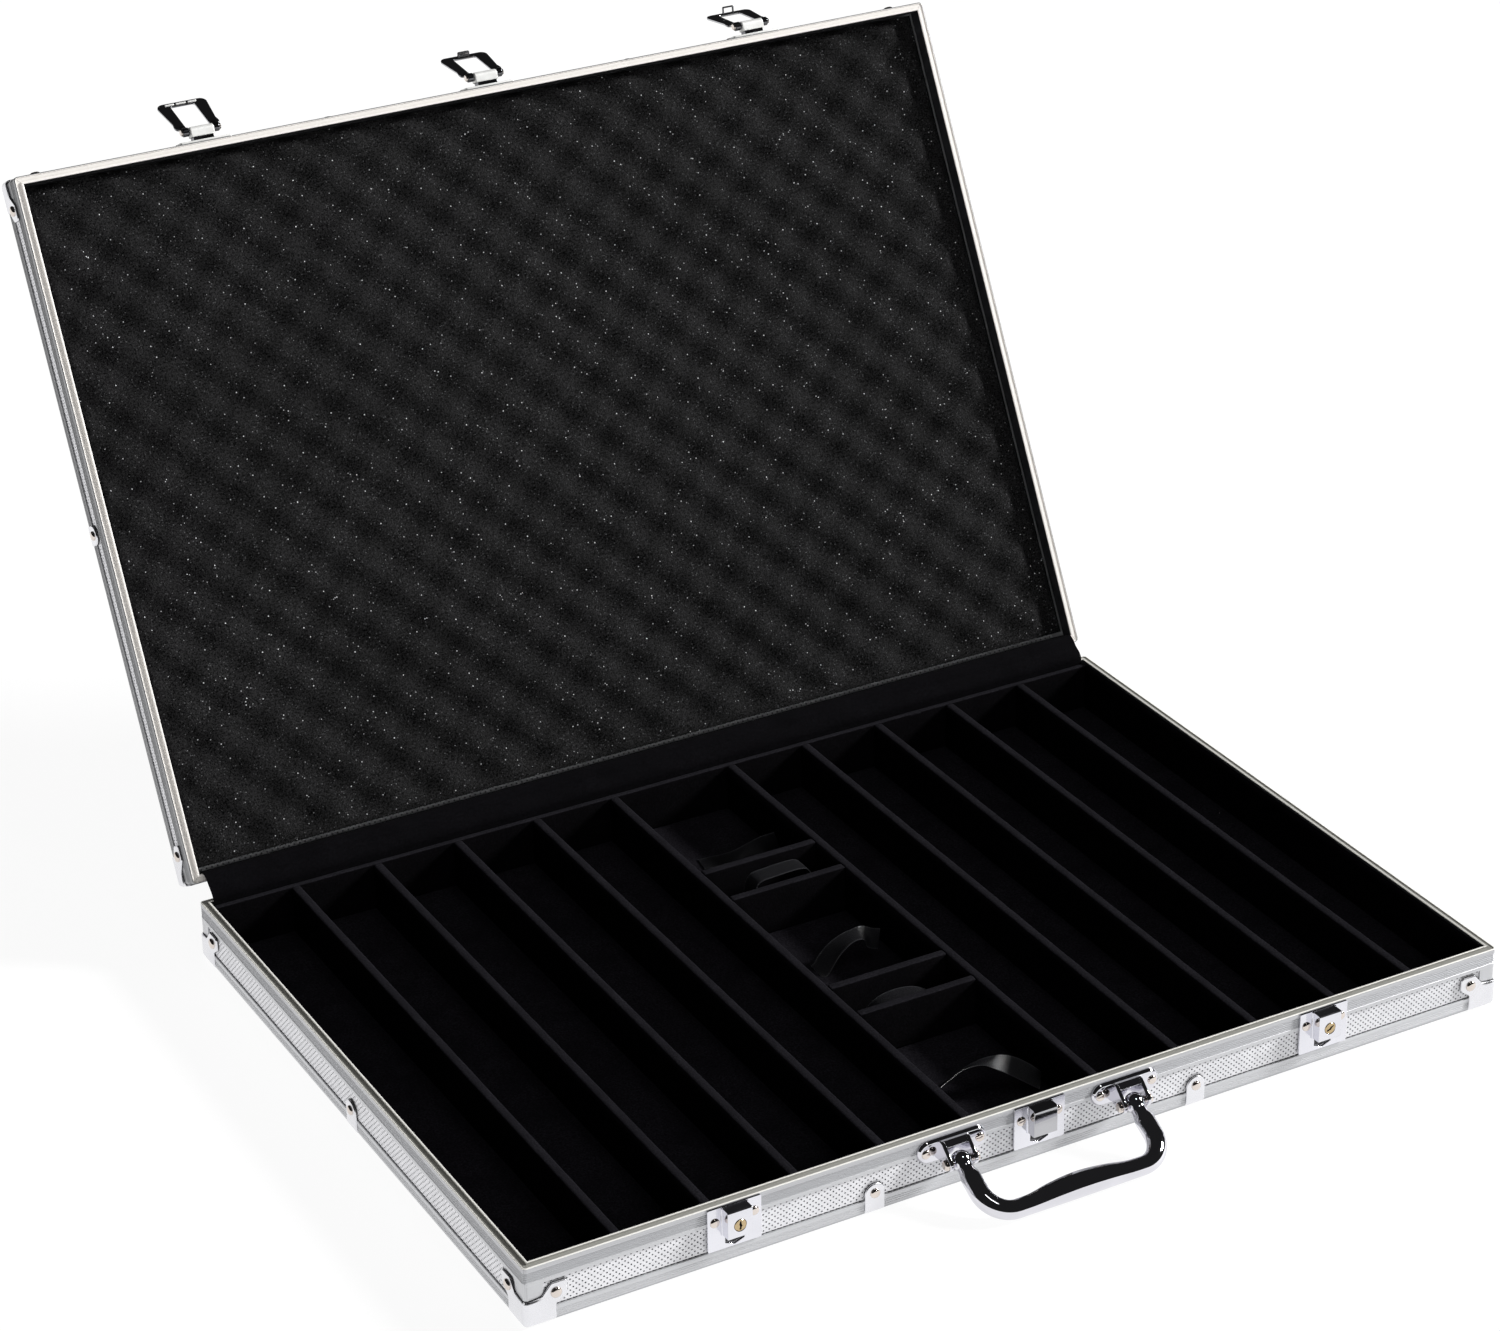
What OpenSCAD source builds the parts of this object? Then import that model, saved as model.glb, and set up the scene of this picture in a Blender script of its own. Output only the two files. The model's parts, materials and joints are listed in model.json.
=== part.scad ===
// Aluminium chip case: a shallow base with a divided felt tray, and a foam-lined lid
// on three back hinges. +X is to the right, -Y is the front (handle and locks), +Z is up.
// The origin is the middle of the base's underside. The lid is drawn open, on its stop.

/* [Case] */
// Outside length of the case, side to side
case_w = 560; // [520:1:600]
// Outside depth of the case, front to back
case_d = 385.4; // [370:0.1:410]
// Height of the base, from its underside to its rim
base_h = 34.2; // [33.5:0.1:38]
// Thickness of the lid, from its rim to its outer face
lid_t = 25.3; // [25:0.1:30]
// Angle between the closed lid and the open lid
open_angle = 118; // [95:1:120]
// Gap between the base's rim and the closed lid's rim
rim_gap = 0.4; // [0.3:0.1:1]

/* [Aluminium shell] */
// Thickness of the aluminium profiles' outer legs
skin = 0.8; // [0.6:0.1:0.9]
// Thickness of the embossed wall boards
board = 3.2; // [3:0.1:3.6]
// Thickness of the rim profiles' inner legs
inner_leg = 0.5; // [0.4:0.1:0.8]
// Height of the base's rim profiles
base_rim_h = 11.2; // [10:0.1:14]
// Height of the base's bottom edge profiles
base_edge_h = 8.2; // [7.5:0.1:10]
// Height of the lid's rim profiles
lid_rim_h = 10; // [9:0.1:11]
// Height of the lid's edge profiles
lid_edge_h = 7; // [6:0.1:8]
// Width of the edge profiles' flanges over the base's and lid's flat panels
flange_w = 10; // [8:1:14]
// Width of each leg of the plain angles over the upright corners
angle_w = 9.8; // [6:0.1:12]
// Radius of the case's upright corners and of its outer edges
corner_r = 2; // [1.5:0.1:2.5]
// Thickness of the base's and lid's flat panels
panel_t = 3.2; // [3:0.1:4]

/* [Tray] */
// Thickness of the felt-covered dividers
divider_t = 5; // [4:0.1:6]
// Distance from the rim down to the tops of the dividers
divider_drop = 2; // [1:0.1:4]
// Width between the middles of the two dividers beside the centre column
centre_w = 74; // [70:1:80]
// Number of chip columns on each side of the centre column
columns = 5; // [3:1:5]
// Thickness of the side and front felt liners
liner_t = 1.5; // [1:0.1:2]
// Thickness of the back liner board
back_liner_t = 3.5; // [3:0.1:4]
// Thickness of the tray's felt floor board
floor_t = 1.5; // [1:0.1:2]
// Width of the pull ribbons
ribbon_w = 11; // [8:0.5:13]

/* [Lid lining] */
// Thickness of the foam, from the lid's panel to its peaks
foam_t = 17; // [12:0.5:17]

/* [Fittings] */
// Distance of the two key locks from the case's middle
lock_x = 170; // [150:1:190]
// Distance of the handle's two brackets from the case's middle
handle_x = 50; // [46:0.5:56]
// Angle that the handle droops below level as it lies on a table
handle_droop = 27.7; // [26:0.1:28]
// Distance from the handle's pivots to the middle of its grip
handle_reach = 32.5; // [31:0.1:33]
// Radius of the handle's bar
handle_r = 5.2; // [4.6:0.1:5.3]
// Angle from latched to the left hasp's raised place
hasp_left_angle = 138; // [120:1:165]
// Angle from latched to the centre hasp's raised place
hasp_centre_angle = 147; // [120:1:165]
// Angle from latched to the right hasp's raised place
hasp_right_angle = 156; // [120:1:165]
// Turn of the right key plug from upright
right_key_turn = 55; // [0:5:90]

/* [Hidden] */

$fn = 48;
front_y = -case_d / 2;
back_y = case_d / 2;
wall_t = skin + board + inner_leg;
lid_rim_z = base_h + rim_gap;
hinge_y = back_y + 4.84;
hinge_z = base_h + 1.44;

// inside of the tray
inner_x = case_w / 2 - wall_t - liner_t;
inner_front = front_y + wall_t + liner_t;
liner_gap = 1.1;
inner_back = back_y - wall_t - liner_gap - back_liner_t;
tray_z = panel_t + floor_t;
divider_top = base_h - divider_drop;
divider_h = divider_top - tray_z;
slot_w = (inner_x - centre_w / 2 - divider_t / 2 - (columns - 1) * divider_t) / columns;
pitch = slot_w + divider_t;
cross_y = [86, 54.5, -49, -78];
cross_len = centre_w - divider_t;

// rim profile details
mitre_gap = 0.08;
web_t = 1.5;
inner_leg_h = 9;
groove_d = 0.7;

// trim
trim_t = 0.9;
trim_gap = 0.3;
cap_reach = 16;
ear_r = 5.6;
base_ear_z = 15.5;
lid_ear_z = 11.6;
clip_w = 11;
base_clip_h = 17;
lid_clip_h = 13;
clip_x = 93;
rivet_r = 2.5;
rivet_h = 1.2;

// locks
lock_w = 29;
lock_plate_t = 1.2;
lock_plate_z = [9, 32.8];
lock_box_w = 13.4;
lock_box_z = [17, 32.3];
lock_box_p = 7;
plug_z = 23.8;
plug_r = 3.15;
plug_bore_r = 3.2;
plug_back = 2.2;
keyway = [1, 4.4];
keyway_depth = 2;
lock_rivet = [10.6, 25];

// handle brackets
bracket_z = 24.8;
bracket_w = 39;
bracket_h = 12.6;
bracket_t = 1.5;
bracket_rivet_x = 15.2;
pivot_p = 9.5;
pivot_z = 20.5;
ear_gap = 12;
ear_t = 2;
handle_pin_r = 1.7;
handle_bend_r = 14;
eye_w = 10.8;

// hasps
hasp_p = 7;
hasp_z = lid_rim_z + 7.1;
hasp_len = 28.2;
hasp_bar = 2.8;
hasp_w = 23;
hasp_window = 14.4;
hasp_t = 2;
hasp_pin_r = 1.2;
lug_r = 2.5;
lug_w = 3.5;
housing_w = 13.4;
hasp_plate = [30, 17];
hasp_plate_lift = 1.5;
hasp_rivet = [11.5, 14.5];

// hinges
hinge_xs = [-180, 0, 180];
hinge_w = 50;
// the base has the two outer knuckles of each hinge, and the lid the middle one
knuckle_w = hinge_w / 3;
leaf_t = 1.2;
leaf_lap = 1;
leaf_h = 24;
lid_leaf_h = 19;
knuckle_r = 3.2;
knuckle_arm_t = 1.9;
hinge_pin_r = 1.5;
knuckle_gap = 0.3;

// lid lining and flap
foam_gap = 0.5;
foam_back_gap = 2.5;
flap_r = 0.25;
flap_y = back_y - wall_t - liner_gap / 2;
flap_lap = 12;
flap_tuck = 16;
flap_inset = 1.5;

running = 0.05;
tight = 0.02;
eps = 0.01;

METAL = "gainsboro";
CHROME = "lightslategray";
FELT = "#15151a";

// ---- placing helpers ----

// Moves a child drawn on the closed lid to the open lid
module on_lid()
    translate([0, hinge_y, hinge_z])
        rotate([-open_angle, 0, 0])
            translate([0, -hinge_y, -hinge_z])
                children();

// Moves a child drawn with its outer face at z = 0 to the open lid
module lid_shell()
    on_lid()
        translate([0, 0, lid_rim_z + lid_t])
            mirror([0, 0, 1])
                children();

// Draws the first child along the front and back, and the second along the left and right
module four_sides()
    for (side = [0:3])
        rotate([0, 0, side * 90])
            translate([0, -(side % 2 == 0 ? case_d : case_w) / 2, 0])
                children(side % 2);

// An upright rectangle or section in (outwards, up), drawn along x and centred there
module along_x(length)
    translate([-length / 2, 0, 0])
        rotate([90, 0, 90])
            linear_extrude(length)
                children();

// ---- shell: profiles, boards, caps, clips, rivets ----

module rounded_rect(w, d, r) {
    square([w - 2 * r, d], center = true);
    square([w, d - 2 * r], center = true);
    for (x = [-1, 1], y = [-1, 1])
        translate([x * (w / 2 - r), y * (d / 2 - r)])
            circle(r);
}

// Rim profile's section: u runs inwards from the outer face, v is the height
module rim_section(h, rim_h)
    polygon([
        [0, h - rim_h], [0, h - 9.2], [0.2, h - 9], [0.2, h - 3.6], [0, h - 3.4], [0, h - 0.5], [0.5, h],
        [1, h], [1, h - groove_d], [3.3, h - groove_d], [3.3, h], [wall_t - 0.3, h], [wall_t, h - 0.3],
        [wall_t, h - inner_leg_h], [wall_t - inner_leg, h - inner_leg_h],
        [wall_t - inner_leg, h - web_t], [skin, h - web_t], [skin, h - rim_h]]);

// Edge profile's section: an angle with a rounded outer edge
module edge_section(edge_h) {
    translate([0, corner_r])
        square([skin, edge_h - corner_r]);
    translate([corner_r, 0])
        square([flange_w - corner_r, skin]);
    intersection() {
        square(corner_r);
        translate([corner_r, corner_r])
            difference() {
                circle(corner_r);
                circle(corner_r - skin);
            }
    }
}

// One mitred length of a profile, with its outer face on y = 0 and its body towards +y
module mitred(length, reach, h)
    intersection() {
        along_x(length)
            children();
        linear_extrude(h)
            polygon([
                [-length / 2 + mitre_gap, 0], [length / 2 - mitre_gap, 0],
                [length / 2 - reach - mitre_gap, reach], [-length / 2 + reach + mitre_gap, reach]]);
    }

module upright_corners(h)
    linear_extrude(h)
        rounded_rect(case_w, case_d, corner_r);

module rim_profiles(h, rim_h)
    intersection() {
        four_sides() {
            mitred(case_w, wall_t, h) rim_section(h, rim_h);
            mitred(case_d, wall_t, h) rim_section(h, rim_h);
        }
        upright_corners(h);
    }

module edge_profiles(edge_h)
    intersection() {
        four_sides() {
            mitred(case_w, flange_w, edge_h) edge_section(edge_h);
            mitred(case_d, flange_w, edge_h) edge_section(edge_h);
        }
        upright_corners(edge_h);
    }

// Plain angles over the upright corners, between the edge and rim profiles
module corner_angles(low, high)
    translate([0, 0, low])
        linear_extrude(high - low)
            intersection() {
                difference() {
                    rounded_rect(case_w, case_d, corner_r);
                    square([case_w - 2 * skin, case_d - 2 * skin], center = true);
                }
                for (x = [-1, 1], y = [-1, 1])
                    translate([x * case_w / 2, y * case_d / 2])
                        square(2 * angle_w, center = true);
            }

// Flat panel, rebated all round for the edge profiles' flanges
module flat_panel() {
    linear_extrude(panel_t)
        square([case_w - 2 * flange_w - 0.4, case_d - 2 * flange_w - 0.4], center = true);
    translate([0, 0, skin])
        linear_extrude(panel_t - skin)
            square([case_w - 2 * wall_t, case_d - 2 * wall_t], center = true);
}

// A long wall board (side = -1 front, 1 back)
module long_board(h, side)
    translate([0, side * (case_d / 2 - skin - board / 2), (corner_r + h - web_t) / 2])
        cube([case_w - 2 * skin, board, h - web_t - corner_r], center = true);

// A short wall board, between the two long ones (side = -1 left, 1 right)
module short_board(h, side)
    translate([side * (case_w / 2 - skin - board / 2), 0, (corner_r + h - web_t) / 2])
        cube([board, case_d - 2 * skin - 2 * board, h - web_t - corner_r], center = true);

// One half of a corner cap's outline: s runs from the corner along the face, v is the height
module cap_outline(ear_z) {
    translate([0, trim_gap])
        square([cap_reach, cap_top(ear_z) - trim_gap]);
    translate([cap_reach, ear_z])
        circle(ear_r);
    translate([cap_reach, ear_z - ear_r])
        square([ear_r * 0.75, ear_r * 0.6]);
}

// Height of a cap beside its ear
function cap_top(ear_z) = ear_z - ear_r * 0.35;

// The part of the outline on one flat face, from where the rounded corner ends
module cap_side(ear_z)
    linear_extrude(trim_t)
        translate([-corner_r, 0])
            difference() {
                cap_outline(ear_z);
                square([corner_r, ear_z + ear_r]);
            }

// Corner cap round the corner at x = y = 0 of a case that lies towards +x and +y
module corner_cap(ear_z) {
    translate([corner_r, 0, 0])
        rotate([90, 0, 0])
            cap_side(ear_z);
    translate([0, corner_r, 0])
        rotate([90, 0, -90])
            mirror([1, 0, 0])
                cap_side(ear_z);
    translate([corner_r, corner_r, trim_gap])
        rotate([0, 0, 180])
            rotate_extrude(angle = 90)
                translate([corner_r, 0])
                    square([trim_t, cap_top(ear_z) - trim_gap]);
}

module corner_caps(ear_z)
    for (mx = [0, 1], my = [0, 1])
        mirror([mx, 0, 0])
            mirror([0, my, 0])
                translate([-case_w / 2, -case_d / 2, 0])
                    corner_cap(ear_z);

module edge_clip(clip_h)
    mirror([0, 1, 0])
        rotate([-90, 0, 0])
            mirror([0, 1, 0])
                linear_extrude(trim_t) {
                    translate([-clip_w / 2, trim_gap])
                        square([clip_w, clip_h - clip_w / 2 - trim_gap]);
                    translate([0, clip_h - clip_w / 2])
                        circle(clip_w / 2);
                }

// The places of the clips: at two points on the long sides and halfway along the short ones
module clip_places()
    four_sides() {
        for (x = [-clip_x, clip_x])
            translate([x, 0, 0])
                children();
        children();
    }

// A rivet's domed head, standing out towards -y from y = 0
module rivet(r = rivet_r, h = rivet_h) {
    dome_r = (r * r + h * h) / (2 * h);
    rotate([90, 0, 0])
        rotate_extrude()
            intersection() {
                translate([0, h - dome_r])
                    circle(dome_r, $fn = 96);
                square([r, h]);
            }
}

module shell_rivets(ear_z, clip_h) {
    four_sides() {
        for (x = [-1, 1])
            translate([x * (case_w / 2 - cap_reach), -trim_t, ear_z])
                rivet();
        for (x = [-1, 1])
            translate([x * (case_d / 2 - cap_reach), -trim_t, ear_z])
                rivet();
    }
    clip_places()
        translate([0, -trim_t, clip_h - clip_w / 2])
            rivet();
}

// ---- base ----

module base_panel() color(METAL) flat_panel();
module base_wall_front() color(METAL) long_board(base_h, -1);
module base_wall_back() color(METAL) long_board(base_h, 1);
module base_wall_left() color(METAL) short_board(base_h, -1);
module base_wall_right() color(METAL) short_board(base_h, 1);
module base_rim_profiles() color(METAL) {
    rim_profiles(base_h, base_rim_h);
    corner_angles(base_edge_h, base_h - base_rim_h);
}

module base_edge_profiles() color(METAL) edge_profiles(base_edge_h);
module base_corner_caps() color("silver") corner_caps(base_ear_z);
module base_edge_clips() color("silver") clip_places() edge_clip(base_clip_h);

module base_rivets() color("mistyrose") {
    shell_rivets(base_ear_z, base_clip_h);
    for (x = [-lock_x, 0, lock_x], side = [-1, 1])
        translate([x + side * lock_rivet[0], front_y - lock_plate_t, lock_rivet[1]])
            rivet();
    for (x = [-handle_x, handle_x], side = [-1, 1])
        translate([x + side * bracket_rivet_x, front_y - bracket_t, bracket_z])
            rivet();
}

// ---- tray ----

module tray_floor() color(FELT)
    translate([-case_w / 2 + wall_t + eps, front_y + wall_t + eps, panel_t])
        cube([case_w - 2 * wall_t - 2 * eps, case_d - 2 * wall_t - 2 * eps, floor_t]);

module tray_liners() color(FELT) {
    liner_h = base_h - 1.8 - tray_z;
    depth = inner_back - inner_front;
    for (side = [-1, 1])
        translate([side * (inner_x + liner_t / 2), (inner_front + inner_back) / 2, tray_z + liner_h / 2])
            cube([liner_t, depth, liner_h], center = true);
    translate([-inner_x - liner_t, front_y + wall_t, tray_z])
        cube([2 * (inner_x + liner_t), liner_t - eps, liner_h]);
    translate([-inner_x - liner_t, inner_back + eps, tray_z])
        cube([2 * (inner_x + liner_t), back_liner_t, liner_h - 0.2]);
}

module chip_dividers() color(FELT)
    for (side = [-1, 1], n = [0:columns - 1])
        translate([side * (centre_w / 2 + n * pitch) - divider_t / 2, inner_front + eps, tray_z])
            cube([divider_t, inner_back - inner_front - 2 * eps, divider_h]);

module cross_dividers() color(FELT)
    for (y = cross_y)
        translate([-cross_len / 2 + eps, y - divider_t / 2, tray_z])
            cube([cross_len - 2 * eps, divider_t, divider_h]);

// A ribbon that follows a path in x and z, at one distance y from the case's middle
module ribbon(path, y) color("black")
    translate([0, y + ribbon_w / 2, 0])
        rotate([90, 0, 0])
            linear_extrude(ribbon_w)
                for (n = [0:len(path) - 2])
                    hull() {
                        translate(path[n]) circle(0.25, $fn = 8);
                        translate(path[n + 1]) circle(0.25, $fn = 8);
                    }

module ribbon_rear_cards()
    ribbon([[-9, 5.4], [6, 5.6], [18, 8.5], [26, 12], [32, 15]], 130);
module ribbon_rear_dice()
    ribbon([[-16, 6], [-14, 24], [-10, 30], [4, 31], [17, 30.5], [21, 26], [23, 6]], 70);
module ribbon_middle_cards()
    ribbon([[-10, 5.4], [-6, 11], [1, 18], [9, 23], [17, 22.5], [23, 18], [26, 11]], 4.5);
module ribbon_front_dice()
    ribbon([[-30, 5.4], [-22, 14], [-12, 23], [0, 25], [12, 23], [24, 14], [30, 5.4]], -63.5);
module ribbon_front_cards()
    ribbon([[-33, 5.4], [-20, 11], [-8, 18], [6, 22], [18, 20], [28, 13], [33, 6]], -135);

// ---- locks ----

module lock_case() {
    difference() {
        translate([-lock_w / 2, -lock_plate_t, lock_plate_z[0]])
            cube([lock_w, lock_plate_t, lock_plate_z[1] - lock_plate_z[0]]);
        rotate([90, 0, 0])
            translate([0, 0, -1])
                linear_extrude(lock_plate_t + 2)
                    polygon([[-5.2, lock_box_z[0] - eps], [5.2, lock_box_z[0] - eps],
                        [5.2, 11.9], [0, 9.9], [-5.2, 11.9]]);
    }
    nose_r = 1.5;
    box_h = lock_box_z[1] - lock_box_z[0];
    mirror([0, 1, 0])
        along_x(lock_box_w) {
            translate([lock_plate_t - 0.5, lock_box_z[0]])
                square([lock_box_p - nose_r - lock_plate_t + 0.5, box_h]);
            translate([lock_plate_t, lock_box_z[0]])
                square([lock_box_p - lock_plate_t, box_h - nose_r]);
            translate([lock_box_p - nose_r, lock_box_z[1] - nose_r])
                circle(nose_r);
        }
}

module key_lock(x) color("silver")
    translate([x, front_y, 0])
        difference() {
            lock_case();
            translate([0, 0.2 - plug_back, plug_z])
                rotate([90, 0, 0])
                    cylinder(r = plug_bore_r, h = lock_box_p);
        }

module key_plug(x, turn) color("khaki")
    translate([x, front_y, plug_z])
        rotate([0, turn, 0])
            difference() {
                translate([0, -plug_back, 0])
                    rotate([90, 0, 0])
                        cylinder(r = plug_r, h = lock_box_p - plug_back + 0.15);
                translate([-keyway[0] / 2, -lock_box_p - 1, -keyway[1] / 2])
                    cube([keyway[0], keyway_depth + 1, keyway[1]]);
            }

module lock_left() key_lock(-lock_x);
module lock_right() key_lock(lock_x);
module lock_centre() color("silver") translate([0, front_y, 0]) lock_case();
module key_plug_left() key_plug(-lock_x, 0);
module key_plug_right() key_plug(lock_x, right_key_turn);

// Dark spring tongues behind the slots under the lock boxes
module lock_catches() color("black")
    for (x = [-lock_x, 0, lock_x])
        translate([x, front_y + skin, 0])
            rotate([90, 0, 0])
                linear_extrude(skin - 0.1)
                    polygon([[-4.9, 16.7], [4.9, 16.7], [4.9, 12.1], [0, 10.2], [-4.9, 12.1]]);

// ---- handle ----

// Stadium plate with a clevis, its outer face towards -y
module handle_bracket(x) color(CHROME)
    translate([x, front_y, 0])
        difference() {
            union() {
                rotate([90, 0, 0])
                    linear_extrude(bracket_t)
                        translate([0, bracket_z])
                            rounded_rect(bracket_w, bracket_h, bracket_h / 2 - eps);
                for (side = [-1, 1])
                    translate([side * (ear_gap + ear_t) / 2, 0, 0])
                        mirror([0, 1, 0])
                            along_x(ear_t) {
                                translate([pivot_p, pivot_z]) circle(3.4);
                                polygon([[bracket_t - 0.5, 29], [4, 29], [12.1, 22.7], [7.8, 17.6],
                                    [bracket_t - 0.5, 19.5]]);
                            }
                mirror([0, 1, 0])
                    along_x(ear_gap + 0.2)
                        polygon([[bracket_t - 0.5, 29], [4, 29], [4.8, 28.4], [4.8, 27.2],
                            [bracket_t - 0.5, 27.2]]);
            }
            translate([0, -pivot_p, pivot_z])
                rotate([0, 90, 0])
                    cylinder(r = handle_pin_r + tight, h = bracket_w, center = true);
        }

module handle_bracket_left() handle_bracket(-handle_x);
module handle_bracket_right() handle_bracket(handle_x);

module handle_pins() color("mistyrose")
    for (x = [-handle_x, handle_x])
        translate([x, front_y - pivot_p, pivot_z])
            rotate([0, 90, 0]) {
                cylinder(r = handle_pin_r, h = ear_gap + 2 * ear_t + 2, center = true);
                for (side = [0, 1])
                    mirror([0, 0, side])
                        translate([0, 0, ear_gap / 2 + ear_t])
                            cylinder(r1 = 2.7, r2 = 2.1, h = 1.8);
            }

// The handle, drawn flat with its pivots on the x axis and its grip towards -y
module handle() color(CHROME)
    translate([0, front_y - pivot_p, pivot_z])
        rotate([handle_droop, 0, 0])
            difference() {
                union() {
                    for (side = [0, 1])
                        mirror([side, 0, 0])
                            translate([handle_x, 0, 0]) {
                                rotate([0, 90, 0])
                                    cylinder(r = handle_r, h = eye_w, center = true);
                                rotate([90, 0, 0])
                                    cylinder(r = handle_r, h = handle_reach - handle_bend_r);
                                translate([-handle_bend_r, handle_bend_r - handle_reach, 0])
                                    rotate([0, 0, -90])
                                        rotate_extrude(angle = 90)
                                            translate([handle_bend_r, 0])
                                                circle(handle_r);
                            }
                    translate([0, -handle_reach, 0])
                        rotate([0, 90, 0])
                            cylinder(r = handle_r, h = 2 * (handle_x - handle_bend_r), center = true);
                    grip();
                }
                for (x = [-handle_x, handle_x])
                    translate([x, 0, 0])
                        rotate([0, 90, 0])
                            cylinder(r = handle_pin_r + running, h = bracket_w, center = true);
            }

// The swelling in the middle of the grip, set towards the case
module grip() {
    half = 32;
    swell = 1.4;
    bow_r = (half * half + swell * swell) / (2 * swell);
    translate([0, 1.6 - handle_reach, 0])
        rotate([0, 90, 0])
            rotate_extrude()
                intersection() {
                    translate([handle_r - 0.2 + swell - bow_r, 0])
                        circle(bow_r, $fn = 720);
                    translate([0, -half])
                        square([20, 2 * half]);
                }
}

// ---- hinges ----

module knuckle(w)
    difference() {
        union() {
            rotate([0, 90, 0])
                cylinder(r = knuckle_r, h = w, center = true);
            translate([0, (back_y - hinge_y) / 2, (knuckle_arm_t - 2 * knuckle_r) / 2])
                cube([w, hinge_y - back_y, knuckle_arm_t], center = true);
        }
        rotate([0, 90, 0])
            cylinder(r = hinge_pin_r + running, h = w + 1, center = true);
    }

module hinge_base_leaves() color("silver")
    for (x = hinge_xs) {
        translate([x - hinge_w / 2, back_y, hinge_z - knuckle_r - leaf_h + leaf_lap])
            cube([hinge_w, leaf_t, leaf_h]);
        for (side = [-1, 1])
            translate([x + side * knuckle_w, hinge_y, hinge_z])
                knuckle(knuckle_w);
    }

module hinge_lid_leaves() color("silver")
    on_lid()
        for (x = hinge_xs) {
            translate([x - hinge_w / 2, back_y, hinge_z + knuckle_r - leaf_lap])
                cube([hinge_w, leaf_t, lid_leaf_h]);
            translate([x, hinge_y, hinge_z])
                mirror([0, 0, 1])
                    knuckle(knuckle_w - 2 * knuckle_gap);
        }

module hinge_pins() color("silver")
    for (x = hinge_xs)
        translate([x, hinge_y, hinge_z])
            rotate([0, 90, 0])
                cylinder(r = hinge_pin_r, h = hinge_w, center = true);

// ---- lid ----

module lid_panel() color(METAL) lid_shell() flat_panel();
module lid_wall_front() color(METAL) lid_shell() long_board(lid_t, -1);
module lid_wall_back() color(METAL) lid_shell() long_board(lid_t, 1);
module lid_wall_left() color(METAL) lid_shell() short_board(lid_t, -1);
module lid_wall_right() color(METAL) lid_shell() short_board(lid_t, 1);
module lid_rim_profiles() color(METAL) lid_shell() {
    rim_profiles(lid_t, lid_rim_h);
    corner_angles(lid_edge_h, lid_t - lid_rim_h);
}

module lid_edge_profiles() color(METAL) lid_shell() edge_profiles(lid_edge_h);
module lid_corner_caps() color("silver") lid_shell() corner_caps(lid_ear_z);
module lid_edge_clips() color("silver") lid_shell() clip_places() edge_clip(lid_clip_h);

module lid_rivets() color("mistyrose") {
    lid_shell()
        shell_rivets(lid_ear_z, lid_clip_h);
    on_lid()
        for (x = [-lock_x, 0, lock_x], side = [-1, 1])
            translate([x + side * hasp_rivet[0], front_y - lock_plate_t, lid_rim_z + hasp_rivet[1]])
                rivet(2, 1);
}

module lid_foam() color("#26262a")
    lid_shell()
        translate([0, (foam_gap - foam_back_gap) / 2, panel_t + foam_t / 2 + eps])
            cube([case_w - 2 * (wall_t + foam_gap), case_d - 2 * wall_t - foam_gap - foam_back_gap, foam_t],
                center = true);

// A point of the closed lid's section, as (y, z) on the open lid
function opened(y, z) = [
    hinge_y + (y - hinge_y) * cos(open_angle) + (z - hinge_z) * sin(open_angle),
    hinge_z - (y - hinge_y) * sin(open_angle) + (z - hinge_z) * cos(open_angle)];

// Felt flap from inside the lid's back wall to behind the tray's back liner
module hinge_flap() color(FELT) {
    path = [opened(flap_y, lid_rim_z + flap_lap), opened(flap_y, lid_rim_z - 0.5),
        [flap_y, base_h + 0.6], [flap_y, base_h - flap_tuck]];
    half_w = case_w / 2 - wall_t - flap_inset;
    translate([-half_w, 0, 0])
        rotate([90, 0, 90])
            linear_extrude(2 * half_w)
                for (n = [0:len(path) - 2])
                    hull() {
                        translate(path[n]) circle(flap_r, $fn = 8);
                        translate(path[n + 1]) circle(flap_r, $fn = 8);
                    }
}

// ---- hasps ----

// Plate and pivot housing on the lid's front, drawn on the closed lid
module hasp_bracket(x) color("silver")
    on_lid()
        translate([x, front_y, 0])
            difference() {
                union() {
                    translate([-hasp_plate[0] / 2, -lock_plate_t, lid_rim_z + hasp_plate_lift])
                        cube([hasp_plate[0], lock_plate_t, hasp_plate[1]]);
                    mirror([0, 1, 0])
                        along_x(housing_w) {
                            translate([lock_plate_t - 0.5, hasp_z - 3.4])
                                square([hasp_p - lock_plate_t + 0.5, 6.2]);
                            translate([hasp_p, hasp_z - 1.2])
                                circle(2.2);
                        }
                }
                translate([0, -hasp_p, hasp_z])
                    rotate([0, 90, 0])
                        cylinder(r = hasp_pin_r + tight, h = hasp_plate[0], center = true);
            }

module hasp_bracket_left() hasp_bracket(-lock_x);
module hasp_bracket_centre() hasp_bracket(0);
module hasp_bracket_right() hasp_bracket(lock_x);

module hasp_pins() color("silver")
    on_lid()
        for (x = [-lock_x, 0, lock_x])
            translate([x, front_y - hasp_p, hasp_z])
                rotate([0, 90, 0]) {
                    cylinder(r = hasp_pin_r, h = housing_w + 2 * lug_w + 1.2, center = true);
                    for (side = [0, 1])
                        mirror([0, 0, side])
                            translate([0, 0, housing_w / 2 + lug_w + 0.5])
                                cylinder(r1 = 2, r2 = 1.6, h = 0.8);
                }

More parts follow.
